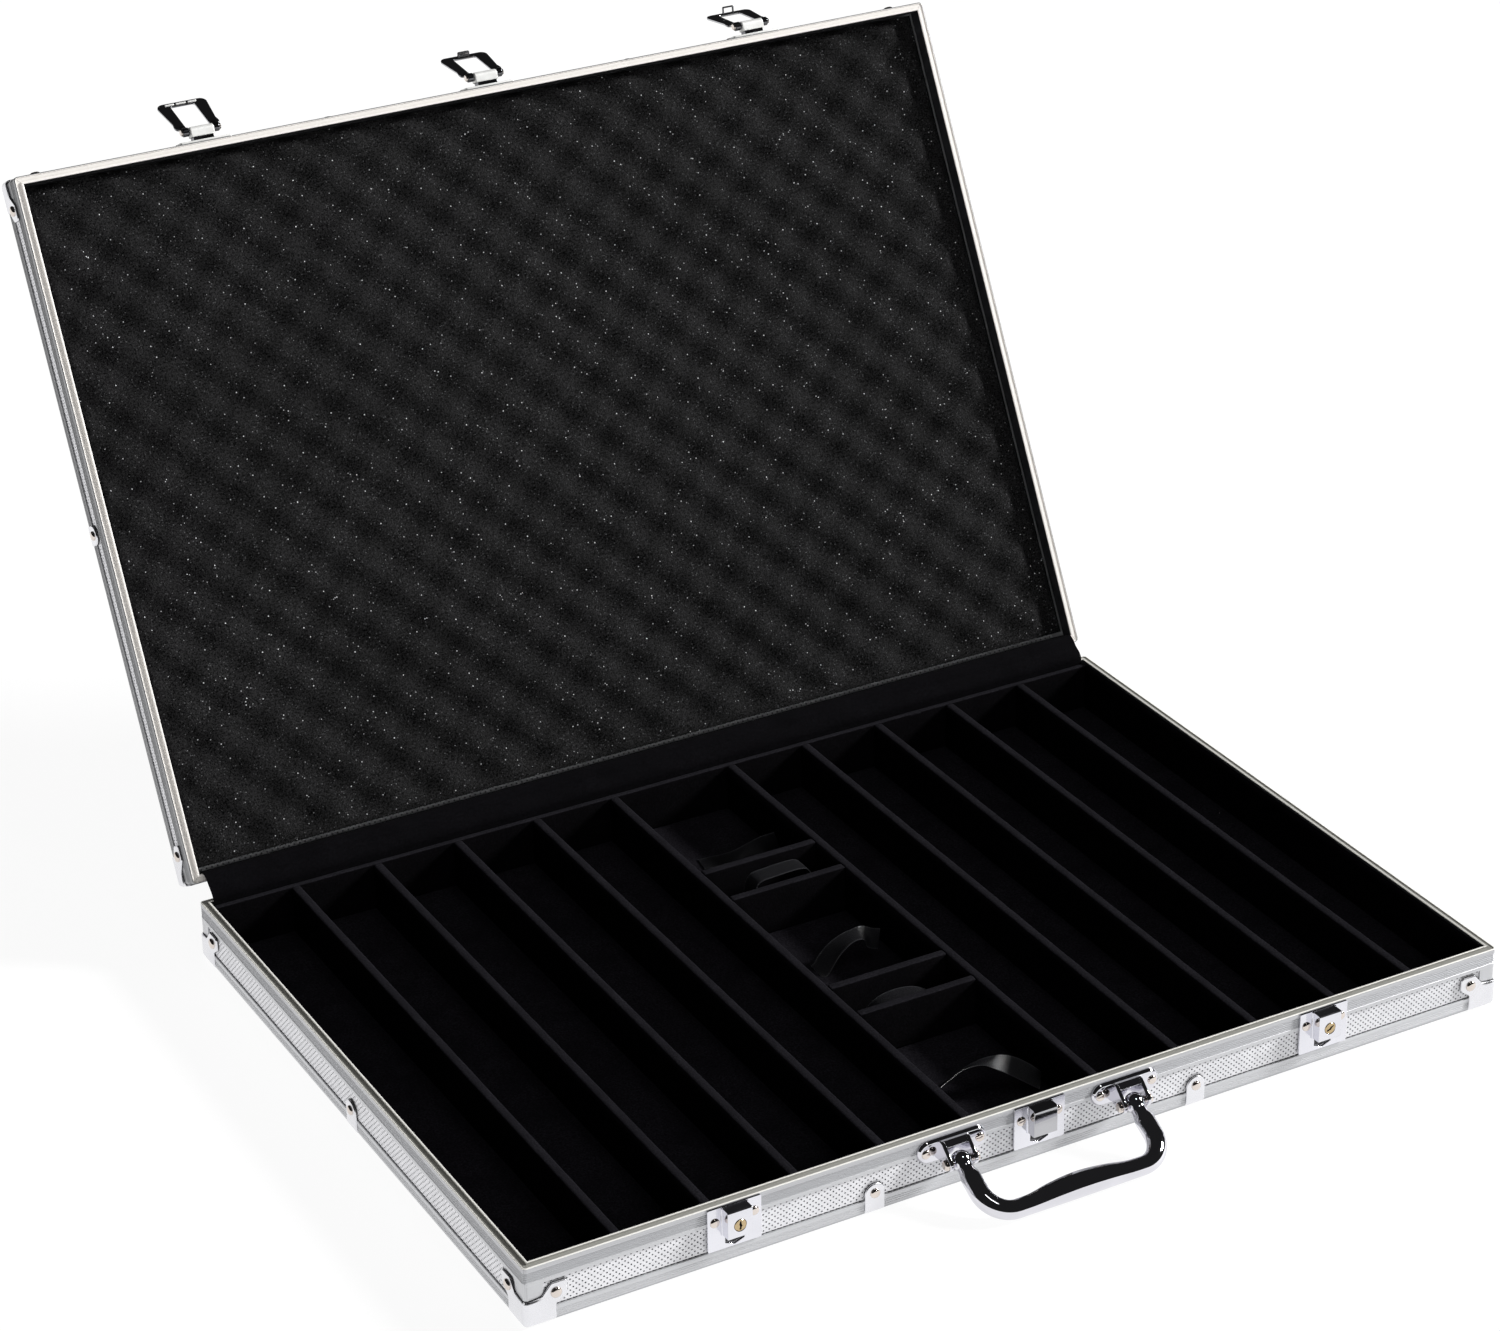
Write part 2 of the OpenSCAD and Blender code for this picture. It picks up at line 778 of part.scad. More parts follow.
// The loop, drawn latched: it hangs down from its pins in front of the lock box
module hasp_loop(tab)
    difference() {
        union() {
            rotate([90, 0, 0])
                linear_extrude(hasp_t, center = true)
                    difference() {
                        polygon([[-hasp_w / 2, -4], [hasp_w / 2, -4], [hasp_w / 2, 3 - hasp_len],
                            [hasp_w / 2 - 3, -hasp_len], [3 - hasp_w / 2, -hasp_len],
                            [-hasp_w / 2, 3 - hasp_len]]);
                        translate([-hasp_window / 2, hasp_bar - hasp_len])
                            square([hasp_window, hasp_len]);
                    }
            for (side = [-1, 1])
                translate([side * (housing_w / 2 + 0.3 + lug_w / 2), 0, 0]) {
                    rotate([0, 90, 0])
                        cylinder(r = lug_r, h = lug_w, center = true);
                    translate([0, 0, -2.5])
                        cube([lug_w, hasp_t, 5], center = true);
                }
            if (tab)
                translate([0, hasp_t / 2 - 0.2, 0.4 - hasp_len + hasp_bar / 2])
                    linear_extrude(1, center = true)
                        difference() {
                            translate([-4, 0])
                                square([8, 5.6]);
                            translate([-2.6, 1.4])
                                square([5.2, 2.8]);
                        }
        }
        rotate([0, 90, 0])
            cylinder(r = hasp_pin_r + running, h = hasp_plate[0], center = true);
    }

module hasp(x, raised, tab) color(CHROME)
    on_lid()
        translate([x, front_y - hasp_p, hasp_z])
            rotate([-raised, 0, 0])
                hasp_loop(tab);

module hasp_left() hasp(-lock_x, hasp_left_angle, false);
module hasp_centre() hasp(0, hasp_centre_angle, true);
module hasp_right() hasp(lock_x, hasp_right_angle, true);

base_panel();
base_wall_front();
base_wall_back();
base_wall_left();
base_wall_right();
base_rim_profiles();
base_edge_profiles();
base_corner_caps();
base_edge_clips();
base_rivets();
tray_floor();
tray_liners();
chip_dividers();
cross_dividers();
ribbon_rear_cards();
ribbon_rear_dice();
ribbon_middle_cards();
ribbon_front_dice();
ribbon_front_cards();
lock_left();
lock_centre();
lock_right();
lock_catches();
key_plug_left();
key_plug_right();
handle_bracket_left();
handle_bracket_right();
handle_pins();
handle();
hinge_base_leaves();
hinge_pins();
hinge_lid_leaves();
lid_panel();
lid_wall_front();
lid_wall_back();
lid_wall_left();
lid_wall_right();
lid_rim_profiles();
lid_edge_profiles();
lid_corner_caps();
lid_edge_clips();
lid_rivets();
lid_foam();
hinge_flap();
hasp_bracket_left();
hasp_bracket_centre();
hasp_bracket_right();
hasp_pins();
hasp_left();
hasp_centre();
hasp_right();
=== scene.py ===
import json
import math

import bmesh
import bpy
import numpy as np
from mathutils import Matrix, Vector, noise


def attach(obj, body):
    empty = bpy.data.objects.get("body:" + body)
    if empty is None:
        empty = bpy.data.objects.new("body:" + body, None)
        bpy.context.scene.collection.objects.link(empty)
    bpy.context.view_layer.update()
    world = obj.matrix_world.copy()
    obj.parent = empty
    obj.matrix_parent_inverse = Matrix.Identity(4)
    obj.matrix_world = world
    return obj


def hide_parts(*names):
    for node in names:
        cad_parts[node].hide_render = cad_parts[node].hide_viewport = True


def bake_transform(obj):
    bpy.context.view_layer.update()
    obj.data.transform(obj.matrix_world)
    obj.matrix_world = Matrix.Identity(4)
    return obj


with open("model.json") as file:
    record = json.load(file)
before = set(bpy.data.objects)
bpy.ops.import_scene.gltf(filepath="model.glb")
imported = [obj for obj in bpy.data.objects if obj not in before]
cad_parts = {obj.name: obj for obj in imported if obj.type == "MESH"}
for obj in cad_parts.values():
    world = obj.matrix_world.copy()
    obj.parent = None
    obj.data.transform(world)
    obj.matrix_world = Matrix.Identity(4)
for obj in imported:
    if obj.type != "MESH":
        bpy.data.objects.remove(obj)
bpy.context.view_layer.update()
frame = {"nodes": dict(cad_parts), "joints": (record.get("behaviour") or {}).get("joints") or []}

# Lengths are millimetres until a mesh is made. Each piece is built either on the base, or on the
# lid as if it were closed, and LID turns the closed lid to its open place.
MM = 0.001
BASE, LID_BODY = "case_base", "case_lid"
JOINTS = {j["name"]: j for j in frame["joints"]}


def pivot(joint):
    return Vector(JOINTS[joint]["pos_m"]) / MM


def spin(degrees, axis):
    return Matrix.Rotation(math.radians(degrees), 4, axis)


def box_of(node, place=Matrix()):
    """Lowest and highest corner of a CAD node in millimetres, after it is moved by place."""
    co = np.array([place @ (v.co / MM) for v in frame["nodes"][node].data.vertices])
    return Vector(co.min(0)), Vector(co.max(0))


HINGE = pivot("lid_hinge")
OPEN_ANGLE = JOINTS["lid_hinge"]["range_deg"][1]
LID = Matrix.Translation(HINGE) @ spin(-OPEN_ANGLE, "X") @ Matrix.Translation(-HINGE)
CLOSED = LID.inverted()

HALF_W, BACK_Y, BASE_H = box_of("base_rim_profiles")[1]
FRONT_Y = -BACK_Y
BASE_RIM_H = 11.2
BASE_EDGE_H = box_of("base_edge_profiles")[1].z
LID_RIM_Z = box_of("lid_rim_profiles", CLOSED)[0].z
LID_TOP = box_of("lid_edge_profiles", CLOSED)[1].z
LID_T = LID_TOP - LID_RIM_Z
LID_RIM_H = 10.0
LID_EDGE_H = LID_TOP - box_of("lid_edge_profiles", CLOSED)[0].z
# the lid's shell is drawn outer face down, like the base's, and then turned over
LID_SHELL = LID @ Matrix.Translation((0, 0, LID_TOP)) @ Matrix.Diagonal((1, 1, -1, 1))

CORNER_R = 2.0
WALL = 4.5
SKIN = 0.8
ANGLE_W = 9.8


# ---- materials -------------------------------------------------------------------------------


class Finish:
    """A node material with one principled shader and short calls for the nodes in front of it."""

    def __init__(self, name, colour, metallic, roughness, **sockets):
        self.mat = bpy.data.materials.new(name)
        self.mat.use_nodes = True
        self.tree = self.mat.node_tree
        self.shader = self.tree.nodes["Principled BSDF"]
        self.put("Base Color", (*colour, 1))
        self.put("Metallic", metallic)
        self.put("Roughness", roughness)
        for socket, value in sockets.items():
            self.put(socket.replace("_", " "), value)

    def put(self, socket, value):
        self.shader.inputs[socket].default_value = value

    def node(self, kind, values=None, **settings):
        made = self.tree.nodes.new(kind)
        for key, value in settings.items():
            setattr(made, key, value)
        for key, value in (values or {}).items():
            self.feed(made.inputs[key], value)
        return made

    def feed(self, socket, value):
        if isinstance(value, bpy.types.NodeSocket):
            self.tree.links.new(value, socket)
        else:
            socket.default_value = value

    def where(self, scale=(1, 1, 1), uv=False):
        """Object (or UV) coordinates in metres, times scale."""
        source = self.node("ShaderNodeTexCoord").outputs["UV" if uv else "Object"]
        return self.node("ShaderNodeMapping", {"Vector": source, "Scale": scale}).outputs[0]

    def noise(self, scale, detail=2.0, rough=0.5, at=None):
        return self.node("ShaderNodeTexNoise", {"Vector": at or self.where(), "Scale": scale,
                                                "Detail": detail, "Roughness": rough}).outputs["Fac"]

    def cells(self, scale):
        return self.node("ShaderNodeTexVoronoi", {"Vector": self.where(), "Scale": scale})

    def ramp(self, value, low, high, dark, light):
        """dark below low, light above high, as a colour or as a number."""
        if isinstance(dark, tuple):
            ramp = self.node("ShaderNodeValToRGB", {"Fac": value})
            first, last = ramp.color_ramp.elements
            first.position, last.position = low, high
            first.color, last.color = (*dark, 1), (*light, 1)
            return ramp.outputs["Color"]
        return self.node("ShaderNodeMapRange", {"Value": value, "From Min": low, "From Max": high,
                                                "To Min": dark, "To Max": light}).outputs["Result"]

    def math(self, operation, a, b=0.0):
        return self.node("ShaderNodeMath", {0: a, 1: b}, operation=operation).outputs[0]

    def mix(self, share, a, b):
        """From colour a to colour b as share goes from 0 to 1."""
        a, b = [(*c, 1) if isinstance(c, tuple) else c for c in (a, b)]
        return self.node("ShaderNodeMix", {"Factor": share, 6: a, 7: b}, data_type="RGBA").outputs[2]

    def colour(self, value):
        self.feed(self.shader.inputs["Base Color"], value)
        return self

    def rough(self, value):
        self.feed(self.shader.inputs["Roughness"], value)
        return self

    def bump(self, height, distance):
        """Adds a bump of that many millimetres to any bump that is there."""
        before = self.shader.inputs["Normal"].links
        values = {"Height": height, "Distance": distance * MM, "Strength": 1.0}
        if before:
            values["Normal"] = before[0].from_socket
        self.feed(self.shader.inputs["Normal"], self.node("ShaderNodeBump", values).outputs[0])
        return self


def metal(name, colour, dull, bright, grain=0.004):
    """Plated metal: roughness wanders between bright and dull, over a faint orange peel."""
    smudge = 90.0
    f = Finish(name, colour, 1.0, dull)
    f.rough(f.ramp(f.noise(smudge, 4.0), 0.35, 0.7, bright, dull))
    f.colour(f.ramp(f.noise(smudge * 0.6, 2.0), 0.3, 0.7, tuple(c * 0.93 for c in colour), colour))
    f.bump(f.noise(700.0, 2.0), grain)
    return f


def extruded_aluminium(name, dark, light, metallic, rough):
    """Drawn profiles: fine streaks along their length, which is U."""
    f = Finish(name, light, metallic, rough)
    streaks = f.noise(1.0, 4.0, 0.6, f.where((3.0, 2600.0, 1.0), uv=True))
    f.colour(f.ramp(streaks, 0.3, 0.7, dark, light))
    f.rough(f.ramp(streaks, 0.3, 0.7, rough + 0.07, rough - 0.07))
    f.bump(streaks, 0.012)
    return f


def board_laminate():
    """The silver laminate of the wall boards; their dots are in the mesh."""
    f = Finish("board_laminate", (0.8, 0.8, 0.82), 0.15, 0.42)
    f.colour(f.ramp(f.noise(160.0, 4.0), 0.3, 0.7, (0.69, 0.69, 0.715), (0.78, 0.78, 0.805)))
    f.bump(f.noise(1400.0, 2.0), 0.01)
    return f


def board_dot_painted_shade():
    """Painted shade for the insides of the dots: a darker grey on their walls and floors."""
    f = Finish("board_dot_painted_shade", (0.2, 0.2, 0.21), 0.2, 0.6)
    f.colour(f.ramp(f.noise(500.0, 2.0), 0.3, 0.7, (0.15, 0.15, 0.16), (0.27, 0.27, 0.29)))
    return f


def panel_laminate(pitch):
    """The same laminate on the large flat panels; here the staggered dots are only in the material, as dark
    spots of painted shade over a small bump.
    """
    f = Finish("panel_laminate", (0.8, 0.8, 0.82), 0.15, 0.42)
    along = f.node("ShaderNodeTexCoord").outputs["UV"]
    parts = f.node("ShaderNodeSeparateXYZ", {0: along})

    def nearest(shift):
        squares = []
        for axis in (0, 1):
            cell = f.math("ADD", f.math("DIVIDE", parts.outputs[axis], pitch * MM), shift)
            off = f.math("SUBTRACT", f.math("FRACT", cell), 0.5)
            squares.append(f.math("MULTIPLY", off, off))
        return f.math("SQRT", f.math("ADD", squares[0], squares[1]))

    distance = f.math("MINIMUM", nearest(0.0), nearest(0.5))
    # dark round spots: painted shade where the dimples' hollows are
    dot = f.ramp(distance, 0.13, 0.19, 1.0, 0.0)
    plain = f.ramp(f.noise(160.0, 4.0), 0.3, 0.7, (0.76, 0.76, 0.785), (0.86, 0.86, 0.88))
    f.colour(f.mix(dot, plain, (0.2, 0.2, 0.22)))
    f.bump(dot, -0.3)
    return f


def felt(name, dark, light):
    """Short black felt: matted fibres and a little lint."""
    f = Finish(name, dark, 0.0, 0.95, Specular_IOR_Level=0.04)
    fibres = f.noise(900.0, 6.0, 0.75)
    patches = f.noise(60.0, 3.0)
    f.colour(f.mix(f.ramp(patches, 0.35, 0.7, 0.0, 0.5), f.ramp(fibres, 0.4, 0.68, dark, light), dark))
    f.bump(fibres, 0.25).bump(patches, 0.2)
    return f


def open_foam():
    """Black open-cell foam: small cells, with painted glints on a few of them where cell walls would catch
    the light.
    """
    f = Finish("black_foam", (0.014, 0.014, 0.015), 0.0, 0.9, Specular_IOR_Level=0.05)
    cells = f.cells(1000.0)
    chance = f.node("ShaderNodeSeparateColor", {0: cells.outputs["Color"]}).outputs[0]
    # painted highlight: rare small cells turn light grey as glints, and more of them faintly
    small = f.ramp(cells.outputs["Distance"], 0.28, 0.42, 1.0, 0.0)
    glint = f.math("MULTIPLY", f.ramp(chance, 0.985, 1.0, 0.0, 1.0), small)
    faint = f.math("MULTIPLY", f.ramp(chance, 0.86, 0.96, 0.0, 0.10), small)
    speckle = f.noise(1150.0, 3.0, 0.75)
    patches = f.ramp(f.noise(14.0, 3.0), 0.3, 0.7, 0.75, 1.0)
    grain = f.ramp(speckle, 0.38, 0.68, (0.0003, 0.0003, 0.0004), (0.0275, 0.0271, 0.0279))
    toned = f.node("ShaderNodeVectorMath", {0: grain, "Scale": patches}, operation="SCALE").outputs[0]
    f.colour(f.mix(f.math("ADD", glint, faint), toned, (0.62, 0.62, 0.64)))
    f.bump(speckle, 0.25).bump(f.noise(220.0, 3.0), 0.3)
    return f


def satin_ribbon():
    """Black satin, woven across, with a looped edge along each side, painted lighter as a highlight. U runs
    across and V along, in metres.
    """
    f = Finish("satin_ribbon", (0.006, 0.006, 0.007), 0.0, 0.24, Specular_IOR_Level=0.9)
    uv = f.node("ShaderNodeSeparateXYZ", {0: f.where(uv=True)})
    across, along = uv.outputs[0], uv.outputs[1]
    weft = f.math("SINE", f.math("MULTIPLY", along, 2 * math.pi / (0.32 * MM)))
    warp = f.math("SINE", f.math("MULTIPLY", across, 2 * math.pi / (0.22 * MM)))
    f.rough(f.ramp(weft, -1.0, 1.0, 0.26, 0.36))
    loops = f.math("SINE", f.math("MULTIPLY", along, 2 * math.pi / (1.1 * MM)))
    edge = f.math("GREATER_THAN", f.math("ABSOLUTE", f.math("SUBTRACT", across, 5.5 * MM)), 4.9 * MM)
    # painted highlight: the looped edges are lighter, as where they catch the light
    beads = f.math("MULTIPLY", edge, f.ramp(loops, 0.0, 0.5, 0.0, 1.0))
    plain = f.ramp(weft, -1.0, 1.0, (0.004, 0.004, 0.005), (0.012, 0.012, 0.0145))
    f.colour(f.mix(beads, plain, (0.075, 0.075, 0.082)))
    f.bump(f.math("ADD", weft, f.math("MULTIPLY", warp, 0.5)), 0.03).bump(loops, 0.02)
    return f


def seam_shade(pitch):
    """Painted shadow in the gap at an edge profile's lip: a dark strip that opens at each column of dots, as
    short dashes.
    """
    f = Finish("seam_shade", (0.03, 0.03, 0.035), 0.0, 0.8, Specular_IOR_Level=0.1)
    along = f.node("ShaderNodeSeparateXYZ", {0: f.where(uv=True)}).outputs[0]
    dash = f.math("SINE", f.math("MULTIPLY", along, 2 * math.pi / (pitch * MM)))
    f.colour(f.ramp(dash, 0.35, 0.75, (0.008, 0.008, 0.010), (0.24, 0.24, 0.25)))
    return f


def painted_trim_shade():
    """The painted shade line along a pressed trim's upper edge: a thin dark sheet standing in for that edge's
    shade.
    """
    f = Finish("trim_painted_shade_line", (0.012, 0.012, 0.013), 0.0, 0.6)
    f.colour(f.ramp(f.noise(500.0, 3.0), 0.3, 0.7, (0.006, 0.006, 0.007), (0.03, 0.03, 0.032)))
    return f


def plated_zinc():
    """The hasps' housings and plates: bright, fine-grained plating."""
    f = Finish("satin_zinc", (0.9, 0.9, 0.88), 0.35, 0.36)
    f.colour(f.ramp(f.noise(220.0, 3.0), 0.3, 0.7, (0.84, 0.84, 0.82), (0.95, 0.95, 0.93)))
    f.bump(f.noise(900.0, 2.0), 0.006)
    return f


def brass():
    f = metal("key_brass", (0.56, 0.43, 0.25), 0.30, 0.16)
    f.bump(f.noise(1.0, 3.0, 0.6, f.where((9000.0, 400.0, 400.0))), 0.01)
    return f


# black paint for the catches; the same black is painted shade on the rim's inner leg and inside the keyways
def dark_paint():
    f = Finish("catch_black", (0.01, 0.01, 0.011), 0.0, 0.5)
    f.colour(f.ramp(f.noise(300.0, 3.0), 0.3, 0.7, (0.006, 0.006, 0.007), (0.02, 0.02, 0.022)))
    f.bump(f.noise(900.0, 3.0), 0.02)
    return f


DOT_PITCH, DOT_RISE = 3.2, 3.06
ALUMINIUM = extruded_aluminium("profile_aluminium", (0.50, 0.505, 0.52), (0.63, 0.635, 0.655), 0.5, 0.36).mat
# painted shade: darker copies of the profile aluminium for the face band above the ribs, for the ribs and for
# the edge profile's rolled bottom
SHADED_RIM_FACE = extruded_aluminium("profile_upper_face_painted_shade", (0.44, 0.44, 0.455), (0.56, 0.565, 0.585), 0.5, 0.38).mat
SHADED_RIB_BAND = extruded_aluminium("profile_ribs_painted_shade", (0.37, 0.375, 0.39), (0.49, 0.495, 0.515), 0.5, 0.4).mat
# painted highlight: a lighter, warmer copy of the profile aluminium for the rim's upward beads
LIT_RIM_BEAD = extruded_aluminium("rim_bead_painted_highlight", (0.80, 0.785, 0.735), (0.93, 0.915, 0.87), 0.2, 0.42).mat
# painted shade: a darker copy of the profile aluminium for the groove between the beads
SHADED_RIM_GROOVE = extruded_aluminium("rim_groove_painted_shade", (0.27, 0.266, 0.242), (0.40, 0.393, 0.36), 0.25, 0.5).mat
# painted shade: a much darker copy of the profile aluminium for all of the lid's profiles
SHADED_LID_ALUMINIUM = extruded_aluminium("lid_aluminium_painted_shade", (0.22, 0.223, 0.23), (0.32, 0.323, 0.331), 0.6, 0.34).mat
# painted highlight: lighter copies of the profile aluminium for the lid rim's upward beads and its groove
LIT_LID_BEAD = extruded_aluminium("lid_rim_bead_painted_highlight", (0.85, 0.82, 0.785), (0.92, 0.89, 0.855), 0.15, 0.42).mat
LIT_LID_GROOVE = extruded_aluminium("lid_rim_groove_painted_highlight", (0.74, 0.71, 0.675), (0.82, 0.79, 0.755), 0.15, 0.45).mat
SEAM_SHADOW = seam_shade(DOT_PITCH).mat
TRIM_SHADE_LINE = painted_trim_shade().mat
LAMINATE = board_laminate().mat
DOT_SHADE = board_dot_painted_shade().mat
PANEL = panel_laminate(DOT_PITCH).mat
CAP_METAL = metal("trim_metal", (0.82, 0.82, 0.85), 0.32, 0.22, 0.008).mat
RIVET_METAL = metal("rivet_nickel", (0.74, 0.67, 0.62), 0.16, 0.08).mat
LOCK_METAL = metal("lock_chrome", (0.80, 0.80, 0.85), 0.18, 0.10).mat
SATIN_ZINC = plated_zinc().mat
CHROME = metal("handle_chrome", (0.74, 0.735, 0.78), 0.05, 0.02).mat
# painted dark reflection: a darker copy of the chrome for the hasps' loops and the centre lock's box
HASP_CHROME_DARKENED = metal("hasp_chrome_painted_dark_reflection", (0.50, 0.50, 0.52), 0.12, 0.06).mat
# painted shade: a near-black copy of the chrome for plate edges, hooks, tabs and necks
HASP_CHROME_PAINTED_SHADE = metal("hasp_chrome_painted_shade", (0.16, 0.16, 0.17), 0.22, 0.12).mat
BRASS = brass().mat
BLACK_PAINT_AND_SHADE = dark_paint().mat
FELT = felt("black_felt", (0.0050, 0.0046, 0.0062), (0.0240, 0.0222, 0.0277)).mat
# painted shade: a darker copy of the felt for the tray's walls
FELT_WALL_SHADE = felt("felt_walls_painted_shade", (0.0012, 0.0010, 0.0014), (0.0047, 0.0042, 0.0054)).mat
# the felt on the tops: lighter, partly fuzz and partly painted highlight
FELT_TOP_FUZZ_AND_HIGHLIGHT = felt("felt_top_fuzz_and_highlight", (0.0060, 0.0057, 0.0072), (0.0210, 0.0200, 0.0245)).mat
FLAP_FELT = felt("flap_felt", (0.0013, 0.0012, 0.0016), (0.0046, 0.0043, 0.0056)).mat
FOAM = open_foam().mat
RIBBON = satin_ribbon().mat


# ---- mesh helpers ----------------------------------------------------------------------------


class Shape:
    """Points, faces, face materials and UVs of one piece, in millimetres."""

    def __init__(self):
        self.points, self.faces, self.slots, self.uvs = [], [], [], []

    def add(self, points, faces, uvs=None):
        first = len(self.points)
        self.points += [tuple(p) for p in points]
        self.faces += [tuple(first + i for i in face) for face in faces]
        self.slots += [0] * len(faces)
        self.uvs += list(uvs) if uvs is not None else [(p[0], p[1]) for p in points]

    def grid(self, rows, closed=False, uvs=None, column_slots=None):
        """Quads between rows of points; closed joins each row's last point to its first."""
        n, m = len(rows), len(rows[0])
        points = [p for row in rows for p in row]
        wide = m if closed else m - 1
        faces = [(i * m + j, i * m + (j + 1) % m, (i + 1) * m + (j + 1) % m, (i + 1) * m + j)
                 for i in range(n - 1) for j in range(wide)]
        self.add(points, faces, None if uvs is None else [uv for row in uvs for uv in row])
        if column_slots:
            self.slots[-len(faces):] = column_slots * (n - 1)
        return self

    def tube(self, rows):
        """A closed grid with both ends filled."""
        first = len(self.points)
        self.grid(rows, closed=True)
        m, last = len(rows[0]), len(self.points)
        self.faces += [tuple(range(first + m - 1, first - 1, -1)), tuple(range(last - m, last))]
        self.slots += [0, 0]
        return self

    def extrude(self, outline, low, high, place=Matrix()):
        """A solid between two heights over an outline of (x, y)."""
        n = len(outline)
        points = [place @ Vector((x, y, z)) for z in (low, high) for x, y in outline]
        faces = [(i, (i + 1) % n, n + (i + 1) % n, n + i) for i in range(n)]
        faces += [tuple(range(n - 1, -1, -1)), tuple(range(n, 2 * n))]
        self.add(points, faces)
        return self

    def lathe(self, profile, place, steps):
        """A solid of revolution about z from (radius, height) points; the first and last lie on z."""
        low, high = profile[0][1], profile[-1][1]
        rings = profile[1:-1]
        turns = [2 * math.pi * k / steps for k in range(steps)]
        points = [place @ Vector((0, 0, low))]
        points += [place @ Vector((r * math.cos(a), r * math.sin(a), h)) for r, h in rings for a in turns]
        points.append(place @ Vector((0, 0, high)))
        last = len(points) - 1
        faces = [(0, 1 + (k + 1) % steps, 1 + k) for k in range(steps)]
        for i in range(len(rings) - 1):
            a, b = 1 + i * steps, 1 + (i + 1) * steps
            faces += [(a + k, a + (k + 1) % steps, b + (k + 1) % steps, b + k) for k in range(steps)]
        top = 1 + (len(rings) - 1) * steps
        faces += [(top + k, top + (k + 1) % steps, last) for k in range(steps)]
        self.add(points, faces)


def round_edges(made, width, segments=3, angle=math.radians(38)):
    """Rounds an object's sharp edges by a bevel that is that many metres wide."""
    rounding = made.modifiers.new("edges", "BEVEL")
    rounding.width, rounding.segments = width, segments
    rounding.limit_method, rounding.angle_limit = "ANGLE", angle


def piece(name, shape, place, body, materials, replaces=(), sharp=35.0, merge=0.0, bevel=0.0):
    """Makes a Shape into a mesh object that rides on a body."""
    mesh = bpy.data.meshes.new(name)
    mesh.from_pydata(shape.points, [], shape.faces)
    mesh.polygons.foreach_set("material_index", shape.slots)
    layer = mesh.uv_layers.new(name="UVMap")
    corner = np.zeros(len(mesh.loops), np.int32)
    mesh.loops.foreach_get("vertex_index", corner)
    layer.data.foreach_set("uv", (np.array(shape.uvs, float)[corner] * MM).ravel())
    for m in materials:
        mesh.materials.append(m)
    mesh.transform(Matrix.Scale(MM, 4) @ place)
    if place.determinant() < 0:
        mesh.flip_normals()
    if merge:
        bm = bmesh.new()
        bm.from_mesh(mesh)
        bmesh.ops.remove_doubles(bm, verts=bm.verts, dist=merge * MM)
        bmesh.ops.recalc_face_normals(bm, faces=bm.faces)
        bm.to_mesh(mesh)
        bm.free()
    mesh.shade_smooth()
    mesh.set_sharp_from_angle(angle=math.radians(sharp))
    made = bpy.data.objects.new(name, mesh)
    bpy.context.scene.collection.objects.link(made)
    if bevel:
        round_edges(made, bevel * MM)
    if body:
        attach(made, body)
    if replaces:
        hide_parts(*replaces)
    return made


def apply_modifiers(made):
    """Replaces an object's mesh by what its modifiers make of it."""
    graph = bpy.context.evaluated_depsgraph_get()
    mesh = bpy.data.meshes.new_from_object(made.evaluated_get(graph))
    made.modifiers.clear()
    made.data = mesh


def cut(made, cutters):
    """Cuts the cutters out of an object and removes them."""
    for cutter in cutters:
        hole = made.modifiers.new("cut", "BOOLEAN")
        hole.operation, hole.solver, hole.object = "DIFFERENCE", "EXACT", cutter
    edges = [m for m in made.modifiers if m.type == "BEVEL"]
    kept = [(m.width, m.segments, m.angle_limit) for m in edges]
    for m in edges:
        made.modifiers.remove(m)
    apply_modifiers(made)
    for cutter in cutters:
        bpy.data.objects.remove(cutter)
    for width, segments, angle in kept:
        round_edges(made, width, segments, angle)
    made.data.set_sharp_from_angle(angle=math.radians(35))


def arc(cx, cy, r, start, end, steps):
    """Points on an arc, angles in degrees."""
    return [(cx + r * math.cos(math.radians(start + (end - start) * k / steps)),
             cy + r * math.sin(math.radians(start + (end - start) * k / steps))) for k in range(steps + 1)]


def rounded_box(w, h, r, cx=0.0, cy=0.0, steps=5):
    """Outline of a rectangle with round corners."""
    out = []
    for sx, sy, a in ((1, 1, 0), (-1, 1, 90), (-1, -1, 180), (1, -1, 270)):
        out += arc(cx + sx * (w / 2 - r), cy + sy * (h / 2 - r), r, a, a + 90, steps)
    return out


def smooth(t):
    t = min(1.0, max(0.0, t))
    return t * t * (3 - 2 * t)


# Turns (x, y) of an outline into x across and z up, and its height into the distance outwards (-y)
UPRIGHT = Matrix(((1, 0, 0, 0), (0, 0, -1, 0), (0, 1, 0, 0), (0, 0, 0, 1)))
# Turns (x, y) of an outline into (outwards, up), and its height into x
SIDEWAYS = Matrix(((0, 0, 1, 0), (-1, 0, 0, 0), (0, 1, 0, 0), (0, 0, 0, 1)))


def side_place(side):
    """Moves a thing drawn at the front, outer face on y = 0, to one of the four sides."""
    reach = BACK_Y if side % 2 == 0 else HALF_W
    return spin(90 * side, "Z") @ Matrix.Translation((0, -reach, 0))


# ---- aluminium profiles ----------------------------------------------------------------------


RIB_PITCH, RIB_RISE = 0.9, 0.13
RIB_LOW, RIB_HIGH = 9.0, 3.7    # how far below the rim's top its band of ribs lies
GROOVE_D = 1.2                  # the groove between the rim's two beads, painted dark as shade
BEAD_DROP = 0.75                # the front bead lies this much lower than the inner one
INNER_LEG = 9                   # the rim's leg down the inside of the wall
FLANGE = 10.0                   # the edge profile's width under the panel
MITRE_GAP = 0.12
CORNER_STEPS = 4


